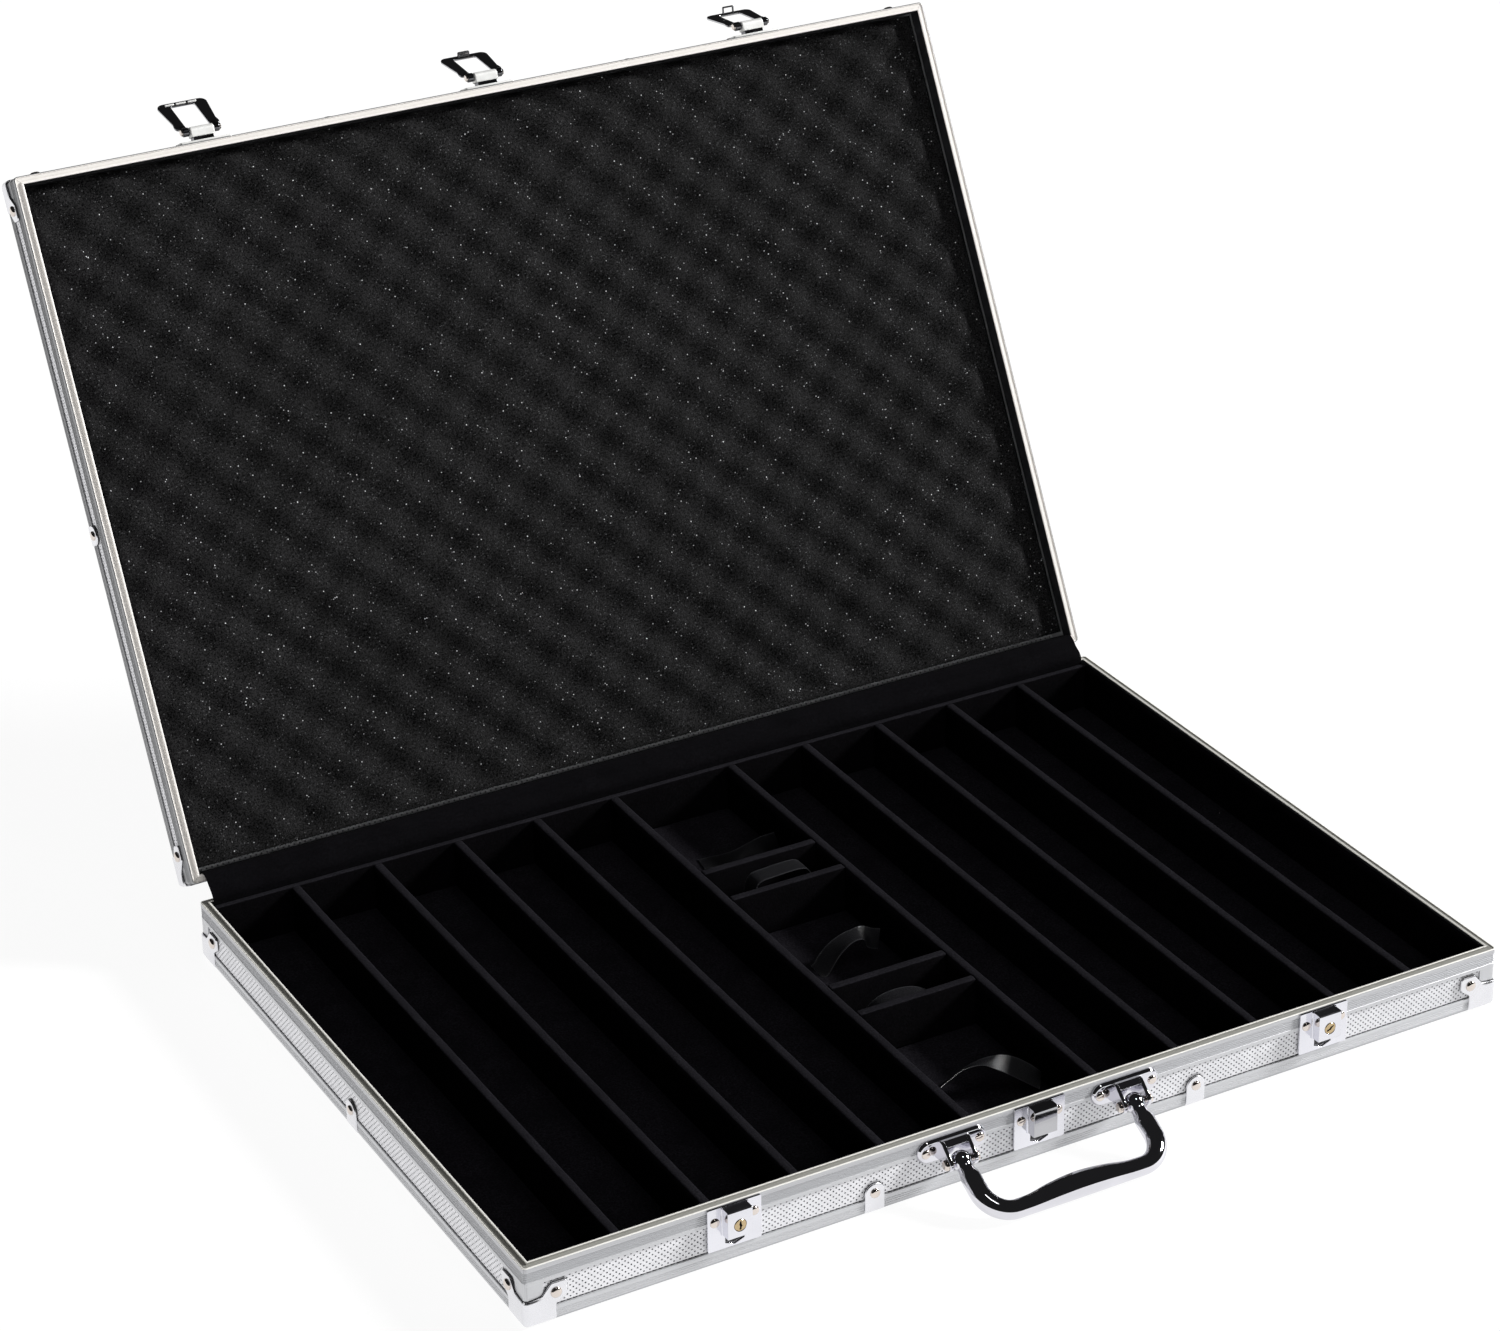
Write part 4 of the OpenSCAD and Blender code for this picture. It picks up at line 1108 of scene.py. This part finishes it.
def clevis():
    """Two ears and the web over them, bent from one plate."""
    shape = Shape()
    p, z = FRONT_Y - HANDLE_PIVOT.y, HANDLE_PIVOT.z
    gap, ear = 6.0, 2.0
    outline = [(1.0, 19.4), (4.4, 18.2)] + arc(p, z, 3.5, -140, 42, 14) + [(4.6, 29.6), (1.0, 30.2)]
    for side in (-1, 1):
        lo, hi = sorted((side * gap, side * (gap + ear)))
        shape.extrude(outline, lo, hi, SIDEWAYS)
    web = [(1.0, 30.1), (3.2, 30.0), (6.0, 27.6), (5.3, 26.7), (2.4, 28.8), (1.0, 28.9)]
    shape.extrude(web, -gap - ear + 0.3, gap + ear - 0.3, SIDEWAYS)
    return shape


def build_brackets():
    pins = Shape()
    for word, x in (("left", -HANDLE_X), ("right", HANDLE_X)):
        place = at_front(x, 0, 0)
        piece(f"handle_plate_{word}", bracket_plate(), place, BASE, [CHROME],
              [f"handle_bracket_{word}"], sharp=50)
        piece(f"handle_clevis_{word}", clevis(), place, BASE, [CHROME], bevel=0.4)
        along = Matrix.Translation((x, HANDLE_PIVOT.y, HANDLE_PIVOT.z)) @ spin(90, "Y")
        head = [(0, 10.1), (1.2, 10.05), (2.1, 9.7), (2.6, 9.1), (2.75, 8.5), (2.75, 8.05), (1.7, 8.0)]
        pins.lathe([(r, h) for r, h in head] + [(r, -h) for r, h in reversed(head)], along, 28)
    piece("handle_pin_heads", pins, Matrix(), BASE, [RIVET_METAL], ["handle_pins"], sharp=50)


# ---- hasps -----------------------------------------------------------------------------------

HASP_LEN, HASP_W, HASP_BAR = 28.8, 25.4, 3.4
HASP_FLARE = 1.6         # how much wider each side is at the bar
HASP_INNER = 6.9         # half width of the window
HASP_T = 0.75            # half thickness
ENDS_Z = -2.6            # the loop stops here, clear of its pin
HOUSING_W, LUG_W = 13.4, 3.5
TAB_Z = -26.4


def hasp_loop():
    """The stamped loop as it hangs latched: pivot on the x axis, bar below, seen face towards +y."""
    half, inner = HASP_W / 2, HASP_INNER
    bulge = [(half - 0.2, -8.5), (half + 0.2, -6.5), (half + 0.35, -4.8), (half - 0.2, -3.4),
             (half - 1.4, ENDS_Z)]
    outer_r, inner_r = 3.8, 1.4
    wide, foot = half + HASP_FLARE - outer_r, outer_r - HASP_LEN
    narrow, bar_top = inner - inner_r, HASP_BAR + inner_r - HASP_LEN
    outer_edge = ([(-x, z) for x, z in reversed(bulge)] + arc(-wide, foot, outer_r, 180, 270, 8)
                  + arc(wide, foot, outer_r, 270, 360, 8) + bulge)
    inner_edge = ([(inner, ENDS_Z)] + arc(narrow, bar_top, inner_r, 0, -90, 5)
                  + arc(-narrow, bar_top, inner_r, -90, -180, 5) + [(-inner, ENDS_Z)])
    return Shape().extrude(outer_edge + inner_edge, -HASP_T, HASP_T, UPRIGHT)


def hasp_lugs():
    """The rounded hooks that turn on the pin."""
    shape = Shape()
    hook = arc(0, 0, 2.5, 200, -20, 14) + [(1.0, -3.0), (1.0, -5.2), (-1.0, -5.2), (-1.0, -3.0)]
    for side in (-1, 1):
        middle = side * (HOUSING_W / 2 + 0.3 + LUG_W / 2)
        shape.extrude(hook, middle - LUG_W / 2, middle + LUG_W / 2, SIDEWAYS)
    return shape


def bar_bead(start, end):
    """A raised rounded strip along the loop's bar, on the face that is seen when the hasp is up."""
    bead = arc(0, 0, 0.62, 0, 360, 16)[:-1]
    place = Matrix.Translation((0, HASP_T, -HASP_LEN + HASP_BAR * 0.62))
    return Shape().extrude(bead, start, end, place @ SIDEWAYS)


def hasp_tab(reach, filled):
    """The staple that the lock catches: an open frame, or one with a pressed web across it."""
    shape = Shape()
    half, bar = 3.6, 0.8
    within = half - bar + 0.05
    left = [(-half, 0.5), (bar - half, 0.5), (bar - half, reach), (0.5 - half, reach), (-half, reach - 0.5)]
    right = [(half - bar, 0.5), (half, 0.5), (half, reach - 0.5), (half - 0.5, reach), (half - bar, reach)]
    bridge = [(-within, reach - bar), (within, reach - bar), (within, reach), (-within, reach)]
    for outline in (left, right, bridge):
        shape.extrude(outline, TAB_Z - 0.5, TAB_Z + 0.5)
    if filled:
        web = [(-within, 0.5), (within, 0.5), (within, reach - 0.7), (-within, reach - 0.7)]
        shape.extrude(web, TAB_Z - 0.15, TAB_Z + 0.2)
    return shape


def hasp_housing(out, up):
    """The barrel that holds the pin, standing off the plate."""
    nose = arc(out, up - 1.2, 2.2, -90, 90, 10)
    side = [(3.4, up - 3.4), (out - 1, up - 3.4)] + nose + [(out - 1.5, up + 2.6), (3.4, up + 2.8)]
    return Shape().extrude(side, -HOUSING_W / 2, HOUSING_W / 2, SIDEWAYS)


def hasp_neck(up):
    """The slotted web between the plate and the barrel, dark as painted shade under the barrel."""
    side = [(PLATE_T - 0.4, up - 2.7), (3.7, up - 2.7), (3.7, up + 2.6), (PLATE_T - 0.4, up + 2.6)]
    return Shape().extrude(side, 0.9 - HOUSING_W / 2, HOUSING_W / 2 - 0.9, SIDEWAYS)


def build_hasps():
    """The left hasp's bar has three beads; each of the others has a tab."""
    tabs = {"centre": (3.9, True), "right": (5.0, False)}
    beads = ((-9.6, -4.4), (-3.2, 2.4), (3.7, 8.6))
    plate_w, plate_h = 30, 17
    plate_outline = rounded_box(plate_w, plate_h, 1.2, 0, LID_RIM_Z + 1.5 + plate_h / 2)
    for word, x in LOCKS.items():
        joint = f"{word}_hasp_pivot"
        raised = JOINTS[joint]["range_deg"][1]
        at = CLOSED @ pivot(joint)
        place = LID @ Matrix.Translation((x, at.y, at.z)) @ spin(-raised, "X")
        body = f"{word}_hasp"
        piece(f"hasp_{word}_loop", hasp_loop(), place, body, [HASP_CHROME_DARKENED], [f"hasp_{word}"],
              bevel=0.45)
        # the hooks, tabs and necks are in the near-black chrome, as painted shade
        piece(f"hasp_{word}_hooks", hasp_lugs(), place, body, [HASP_CHROME_PAINTED_SHADE], bevel=0.4)
        if word in tabs:
            tab = hasp_tab(*tabs[word])
            piece(f"hasp_{word}_tab", tab, place, body, [HASP_CHROME_PAINTED_SHADE], bevel=0.2)
        else:
            # bright zinc beads on the chrome bar: their relief is modelled, their brightness is a painted
            # highlight
            for number, ends in enumerate(beads, 1):
                bead = bar_bead(*ends)
                piece(f"hasp_left_bead_{number}", bead, place, body, [SATIN_ZINC], bevel=0.2)
        out, up = FRONT_Y - at.y, at.z
        lid_place = LID @ at_front(x, 0, 0)
        piece(f"hasp_{word}_housing", hasp_housing(out, up), lid_place, LID_BODY, [SATIN_ZINC],
              [f"hasp_bracket_{word}"], bevel=0.4)
        piece(f"hasp_{word}_neck", hasp_neck(up), lid_place, LID_BODY, [HASP_CHROME_PAINTED_SHADE], bevel=0.2)
        plate = Shape().extrude(plate_outline, 0, PLATE_T, UPRIGHT)
        piece(f"hasp_{word}_plate", plate, lid_place, LID_BODY, [SATIN_ZINC], bevel=0.3)


# ---- lid lining and flap ---------------------------------------------------------------------

FOAM_LOW, FOAM_HIGH = box_of("lid_foam", LID_SHELL.inverted())
BUMP_X, BUMP_Y = 34.3, 35.4
BUMP_H = 5.6
FIRST_BUMP = (-2.9, 13.9)
FOAM_INSET = 0.6         # the foam's gap from the box of its stand-in
FOAM_BORDER = 7.0        # the bumps fade out this near the edge


def foam_height(x, y):
    """Convoluted foam: rounded bumps and hollows in a chequered lattice, a little uneven."""
    wave = (math.cos(2 * math.pi * (x - FIRST_BUMP[0]) / BUMP_X)
            * math.cos(2 * math.pi * (y - FIRST_BUMP[1]) / BUMP_Y))
    drift = noise.noise(Vector((x * 0.02, y * 0.02, 3.1)))
    grain = noise.noise(Vector((x * 0.35, y * 0.35, 7.7)))
    return FOAM_HIGH.z - BUMP_H / 2 + BUMP_H / 2 * (wave * (0.94 + 0.12 * drift)) - 0.3 + 0.18 * grain


def build_foam():
    step = 2.3
    xs, ys = [np.linspace(a + FOAM_INSET, b - FOAM_INSET, int((b - a) / step))
              for a, b in zip(FOAM_LOW.xy, FOAM_HIGH.xy)]
    edge_drop, edge_w = 1.2, 3.0

    def height(x, y):
        near = min(x - xs[0], xs[-1] - x, y - ys[0], ys[-1] - y)
        free = smooth(near / FOAM_BORDER)
        level = foam_height(x, y) * free + (FOAM_HIGH.z - BUMP_H / 2) * (1 - free)
        return level - edge_drop * (1 - smooth(near / edge_w))

    shape = Shape()
    rows = [[Vector((x, y, height(x, y))) for x in xs] for y in ys]
    shape.grid(rows)
    ring = ([(x, ys[0]) for x in xs] + [(xs[-1], y) for y in ys[1:]] + [(x, ys[-1]) for x in xs[-2::-1]]
            + [(xs[0], y) for y in ys[-2:0:-1]])
    top = [Vector((x, y, height(x, y))) for x, y in ring]
    foot = [Vector((x, y, FOAM_LOW.z)) for x, y in ring]
    n = len(ring)
    shape.add(top + foot, [(i + n, (i + 1) % n + n, (i + 1) % n, i) for i in range(n)]
              + [tuple(reversed(range(n, 2 * n)))])
    made = piece("convoluted_foam", shape, LID_SHELL, LID_BODY, [FOAM], ["lid_foam"], sharp=60,
                 merge=0.01)


def build_flap():
    """Felt from behind the tray's back board, in a slack curve over the hinge, to the lid's back wall."""
    inner = BACK_Y - WALL - 0.55
    half = HALF_W - WALL - 1.6
    low = (inner, BASE_H - 15.5)
    centre = (HINGE.y, HINGE.z)
    start = (inner, BASE_H + 0.6)
    lid_start = LID @ Vector((0, inner, LID_RIM_Z - 0.5))
    lid_end = LID @ Vector((0, inner, LID_RIM_Z + 11.5))
    r0 = math.hypot(start[0] - centre[0], start[1] - centre[1])
    a0 = math.atan2(start[1] - centre[1], start[0] - centre[0]) % (2 * math.pi)
    a1 = math.atan2(lid_start.z - centre[1], lid_start.y - centre[0]) % (2 * math.pi)
    slack = 0.34
    line = [low, (inner, low[1] + 8), start]
    for k in range(1, 17):
        a = a0 + (a1 - a0) * k / 16
        r = r0 * (1 - slack * math.sin(math.pi * k / 16) ** 1.5)
        line.append((centre[0] + r * math.cos(a), centre[1] + r * math.sin(a)))
    for k in (1, 2, 3):
        line.append(tuple(a + (b - a) * k / 3 for a, b in zip(lid_start.yz, lid_end.yz)))
    columns = 221
    thick = 0.5
    rows_out = []
    for k, (y, z) in enumerate(line):
        ahead, behind = line[min(k + 1, len(line) - 1)], line[max(k - 1, 0)]
        across = Vector((0, -(ahead[1] - behind[1]), ahead[0] - behind[0])).normalized()
        free = smooth(min(k - 1, len(line) - 3 - k) / 5.0)
        row = []
        for i in range(columns):
            x = -half + 2 * half * i / (columns - 1)
            wave = noise.noise(Vector((x * 0.022, y * 0.1, z * 0.1)))
            wave += 0.5 * noise.noise(Vector((x * 0.07, 5.0, z * 0.2)))
            row.append((Vector((x, y, z)), across, free * (0.2 + 0.85 * wave)))
        rows_out.append(row)
    shape = Shape()
    front = [[p + n * (w + thick / 2) for p, n, w in row] for row in rows_out]
    back = [[p + n * (w - thick / 2) for p, n, w in row] for row in rows_out]
    shape.grid(front)
    shape.grid([list(reversed(row)) for row in back])
    for a, b in ((front[0], back[0]), (back[-1], front[-1])):
        shape.grid([b, a])
    for j in (0, columns - 1):
        f, b = [row[j] for row in front], [row[j] for row in back]
        shape.grid([f, b] if j == 0 else [b, f])
    made = piece("felt_flap", shape, Matrix(), None, [FLAP_FELT], ["hinge_flap"], sharp=60,
                 merge=0.01)
    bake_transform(made)


# ---- tray ------------------------------------------------------------------------------------


def felt_board(shape, low, high, top_r=1.1, light_top=True):
    """A felt-covered board with softened edges and a slightly uneven face; its top, where the felt folds
    over, has slot 1, lighter as fuzz and painted highlight.
    """
    step, rough = 7.0, 0.12
    size = high - low
    first_face = len(shape.faces)

    def stations(s):
        if s <= 2 * top_r + 0.5:
            return [0.0, s * 0.15, s * 0.5, s * 0.85, s]
        middle = list(np.linspace(top_r, s - top_r, max(2, int(s / step) + 1)))[1:-1]
        return [0.0, 0.35, top_r] + middle + [s - top_r, s - 0.35, s]

    cuts = [stations(s) for s in size]
    counts = [len(c) for c in cuts]

    def surface(i, j, k):
        p = Vector((cuts[0][i], cuts[1][j], cuts[2][k]))
        inset = []
        for a in range(3):
            r = min(top_r, size[a] / 2 * 0.9)
            core = min(max(p[a], r), size[a] - r)
            inset.append(p[a] - core)
        d = Vector(inset)
        reach = [min(top_r, s / 2 * 0.9) for s in size]
        share = math.sqrt(sum((d[a] / reach[a]) ** 2 for a in range(3)))
        box = max(abs(d[a]) / reach[a] for a in range(3))
        if share > 1e-6:
            core = p - d
            p = core + d * (box / share)
        p += low
        across = noise.noise(p * 0.09 + Vector((9, 9, 9)))
        return p + Vector((noise.noise(p * 0.09), across, noise.noise(p * 0.07))) * rough

    def sheet_of(fixed, value, flip):
        a, b = [n for n in range(3) if n != fixed]
        rows = []
        for i in range(counts[a]):
            row = []
            for j in range(counts[b]):
                index = [0, 0, 0]
                index[fixed], index[a], index[b] = value, i, j
                row.append(surface(*index))
            rows.append(row)
        if flip:
            rows.reverse()
        shape.grid(rows)

    for fixed in range(3):
        for value in (0, counts[fixed] - 1):
            sheet_of(fixed, value, (value == 0) == (fixed != 1))
    for number in range(first_face, len(shape.faces)):
        if light_top and min(shape.points[i][2] for i in shape.faces[number]) > high.z - 0.95:
            shape.slots[number] = 1


def each_solid(node):
    """Lowest and highest corners of each separate solid of a CAD node, in millimetres."""
    bm = bmesh.new()
    bm.from_mesh(frame["nodes"][node].data)
    bmesh.ops.remove_doubles(bm, verts=bm.verts, dist=1e-6)
    left, out = set(bm.verts), []
    while left:
        todo, found = [left.pop()], []
        while todo:
            v = todo.pop()
            found.append(v.co / MM)
            for e in v.link_edges:
                other = e.other_vert(v)
                if other in left:
                    left.remove(other)
                    todo.append(other)
        co = np.array(found)
        out.append((Vector(co.min(0)), Vector(co.max(0))))
    bm.free()
    return sorted(out, key=lambda lo_hi: (round(lo_hi[0].x, 1), round(lo_hi[0].y, 1)))


def build_tray():
    for name, node in (("chip_divider_boards", "chip_dividers"), ("cross_divider_boards", "cross_dividers"),
                       ("tray_floor_felt", "tray_floor")):
        shape = Shape()
        for low, high in each_solid(node):
            felt_board(shape, low, high, 0.6 if node == "tray_floor" else 1.1, light_top=node != "tray_floor")
        felts = [FELT] if node == "tray_floor" else [FELT_WALL_SHADE, FELT_TOP_FUZZ_AND_HIGHLIGHT]
        piece(name, shape, Matrix(), BASE, felts, [node], sharp=60, merge=0.01)
    solids = each_solid("tray_liners")
    back = max(solids, key=lambda s: s[0].y)
    rest = Shape()
    for low, high in solids:
        if low is not back[0]:
            felt_board(rest, low, high, 0.6)
    piece("tray_side_liners", rest, Matrix(), BASE, [FELT_WALL_SHADE, FELT_WALL_SHADE], ["tray_liners"],
          sharp=60, merge=0.01)
    board = Shape()
    felt_board(board, *back, 1.0)
    piece("tray_back_board", board, Matrix(), BASE, [FELT_WALL_SHADE, FELT_TOP_FUZZ_AND_HIGHLIGHT], sharp=60,
          merge=0.01)


# ---- ribbons ---------------------------------------------------------------------------------

RIBBON_W = 11.0
RIBBON_T = 0.3


def spline(points, share):
    """A point on a Catmull-Rom curve through the points."""
    n = len(points) - 1
    t = min(n - 1e-6, share * n)
    i = int(t)
    p = [Vector(points[max(0, min(n, k))]) for k in (i - 1, i, i + 1, i + 2)]
    f = t - i
    return 0.5 * ((2 * p[1]) + (p[2] - p[0]) * f + (2 * p[0] - 5 * p[1] + 4 * p[2] - p[3]) * f * f
                  + (3 * p[1] - p[0] - 3 * p[2] + p[3]) * f ** 3)


def ribbon(name, node, points, tilts):
    """A strip along a curve. tilts are turns in degrees about the curve's direction, 0 being level across."""
    steps, across = 96, 8
    line = [spline(points, k / steps) for k in range(steps + 1)]
    turn = [spline([(t, 0, 0) for t in tilts], k / steps).x for k in range(steps + 1)]
    runs = [0.0]
    for a, b in zip(line, line[1:]):
        runs.append(runs[-1] + (b - a).length)
    rows = []
    for k, at in enumerate(line):
        along = (line[min(k + 1, steps)] - line[max(k - 1, 0)]).normalized()
        side = Vector((0, 1, 0)) - along * along.y
        side = Matrix.Rotation(math.radians(turn[k]), 3, along) @ side.normalized()
        rows.append([(at + side * (u * RIBBON_W), along.cross(side), u) for u in
                     (j / across - 0.5 for j in range(across + 1))])
    shape = Shape()
    for sign in (1, -1):
        grid_rows = [[p + up * (sign * RIBBON_T / 2) for p, up, _ in row] for row in rows]
        uv_rows = [[((u + 0.5) * RIBBON_W, run) for _, _, u in row] for row, run in zip(rows, runs)]
        if sign < 0:
            grid_rows = [list(reversed(row)) for row in grid_rows]
            uv_rows = [list(reversed(row)) for row in uv_rows]
        shape.grid(grid_rows, uvs=uv_rows)
    for j, order in ((0, (-1, 1)), (across, (1, -1))):
        edge = [[row[j][0] + row[j][1] * (s * RIBBON_T / 2) for row in rows] for s in order]
        shape.grid(edge, uvs=[[(j / across * RIBBON_W, run) for run in runs]] * 2)
    for k, order in ((0, (1, -1)), (steps, (-1, 1))):
        shape.grid([[p + up * (s * RIBBON_T / 2) for p, up, _ in rows[k]] for s in order],
                   uvs=[[((u + 0.5) * RIBBON_W, runs[k]) for _, _, u in rows[k]]] * 2)
    made = piece(name, shape, Matrix(), BASE, [RIBBON], [node], sharp=50, merge=0.002)


def build_ribbons():
    """Each ribbon starts at its end on the left; its points are those of the middle of the strip."""
    ribbon("ribbon_rear_cards_strip", "ribbon_rear_cards",
           [(-9, 135, 5.3), (-2, 134, 5.4), (6, 132, 5.6), (13, 130, 6.6), (20, 127, 9.5), (26, 125, 12.5),
            (32, 122.5, 14.5)], [0, 0, 6, 18, 45, 68, 76])
    ribbon("ribbon_rear_dice_strip", "ribbon_rear_dice",
           [(-16, 70, 6), (-15, 70, 15), (-14, 70, 24), (-11, 70, 29.5), (-2, 70, 30.6), (8, 70, 31),
            (16, 70, 30.4), (20, 70, 27), (21.5, 70, 19), (22, 70, 10)], [0] * 10)
    ribbon("ribbon_middle_cards_strip", "ribbon_middle_cards",
           [(-11, 4, 5.4), (-8, 4, 7.5), (-4.5, 4.3, 12), (1, 4.5, 17), (8, 4.5, 20.5), (14, 4.5, 21),
            (18, 4.5, 19.5), (22, 4, 16.5), (26.5, 3.5, 15)], [18, 22, 20, 8, 0, 4, 34, 60, 74])
    ribbon("ribbon_front_dice_strip", "ribbon_front_dice",
           [(-30, -63.5, 5.4), (-26, -63.5, 10), (-20, -63.5, 17), (-11, -63.5, 23.2), (0, -63.5, 25),
            (11, -63.5, 23.2), (21, -63.5, 17), (26, -63.5, 11), (30, -63.5, 5.4)],
           [0, 0, 2, 3, 0, -3, -3, 0, 0])
    ribbon("ribbon_front_cards_strip", "ribbon_front_cards",
           [(-33, -130, 6), (-24, -130, 9), (-14, -130.5, 14), (-5, -131.5, 18.5), (4, -134, 21),
            (12, -138, 20.5), (19, -141, 17.5), (26, -143.5, 12.5), (32, -145.5, 7.5)],
           [-25, -32, -38, -38, -20, 18, 44, 48, 40])


# ---- remaining CAD nodes ---------------------------------------------------------------------


def finish_cad_nodes():
    """These nodes' own shapes stay, with better materials."""
    for node, material in (("lock_catches", BLACK_PAINT_AND_SHADE), ("hinge_base_leaves", CAP_METAL),
                           ("hinge_lid_leaves", CAP_METAL), ("hinge_pins", LOCK_METAL),
                           ("hasp_pins", RIVET_METAL)):
        made = frame["nodes"][node]
        made.data.materials.clear()
        made.data.materials.append(material)


# ---- camera, light and floor -----------------------------------------------------------------


def build_camera():
    """The view from the front left, looking down on the case."""
    data = bpy.data.cameras.new("camera")
    data.sensor_width, data.lens = 36.0, 99.5
    data.clip_start, data.clip_end = 0.1, 20.0
    camera = bpy.data.objects.new("camera", data)
    at = Matrix.Translation((-0.93674, -1.61301, 1.14634))
    right = Vector((0.87290409, -0.48769417, -0.0138868))
    up = Vector((0.234014, 0.393538, 0.889026))
    camera.matrix_world = at @ Matrix((right, up, right.cross(up))).transposed().to_4x4()
    bpy.context.scene.collection.objects.link(camera)
    bpy.context.scene.camera = camera


def add_lamp(name, data, at, towards, glossy):
    lamp = bpy.data.objects.new(name, data)
    lamp.location = at
    lamp.rotation_euler = towards.to_track_quat("-Z", "Y").to_euler()
    lamp.visible_glossy = glossy
    bpy.context.scene.collection.objects.link(lamp)


def area_light(name, at, aim, size, power, glossy=True):
    data = bpy.data.lights.new(name, "AREA")
    data.shape, data.size, data.size_y, data.energy = "RECTANGLE", *size, power
    add_lamp(name, data, at, Vector(aim) - Vector(at), glossy)


def build_studio():
    """A dark room over a bright white table: a key light from the right, a soft one above and small fills."""
    world = bpy.data.worlds.new("studio")
    world.use_nodes = True
    sky = world.node_tree.nodes["Background"]
    sky.inputs["Color"].default_value = (0.5, 0.5, 0.52, 1)
    sky.inputs["Strength"].default_value = 0.03
    bpy.context.scene.world = world

    for name, towards, strength, spread, glossy in (("key", (-0.84, 0.24, -0.50), 5.0, 12, True),
                                                    ("above", (-0.1, 0.25, -1), 0.35, 70, False)):
        data = bpy.data.lights.new(name, "SUN")
        data.energy, data.angle = strength, math.radians(spread)
        add_lamp(name, data, (0, 0, 0), Vector(towards), glossy)
    area_light("front", (-0.6, -2.6, 1.3), (0, 0, 0.1), (1.8, 0.9), 14, glossy=False)
    area_light("left_fill", (-2.4, -0.3, 0.13), (0, 0, 0.03), (1.6, 0.2), 20, glossy=False)
    area_light("window", (0.3, -1.2, 2.6), (0, -0.2, 0), (0.25, 0.7), 3)

    reach = 7.0
    floor = bpy.data.meshes.new("floor")
    floor.from_pydata([(x, y, -0.0004) for x, y in ((-reach, -reach), (reach, -reach), (reach, reach),
                                                    (-reach, reach))], [], [(0, 1, 2, 3)])
    paper = Finish("floor_paper", (0.08, 0.08, 0.08), 0.0, 0.8, Emission_Color=(1, 1, 1, 1),
                   Emission_Strength=0.93)
    paper.colour(paper.ramp(paper.noise(3.0, 2.0), 0.3, 0.7, (0.075, 0.075, 0.075), (0.085, 0.085, 0.085)))
    floor.materials.append(paper.mat)
    ground = bpy.data.objects.new("floor", floor)
    bpy.context.scene.collection.objects.link(ground)
    bpy.context.scene.view_settings.view_transform = "Standard"


# ---- everything ------------------------------------------------------------------------------

build_camera()
build_profiles()
build_boards()
build_panels()
build_trim()
build_locks()
build_keys()
build_handle()
build_brackets()
build_hasps()
build_foam()
build_flap()
build_tray()
build_ribbons()
finish_cad_nodes()
build_studio()
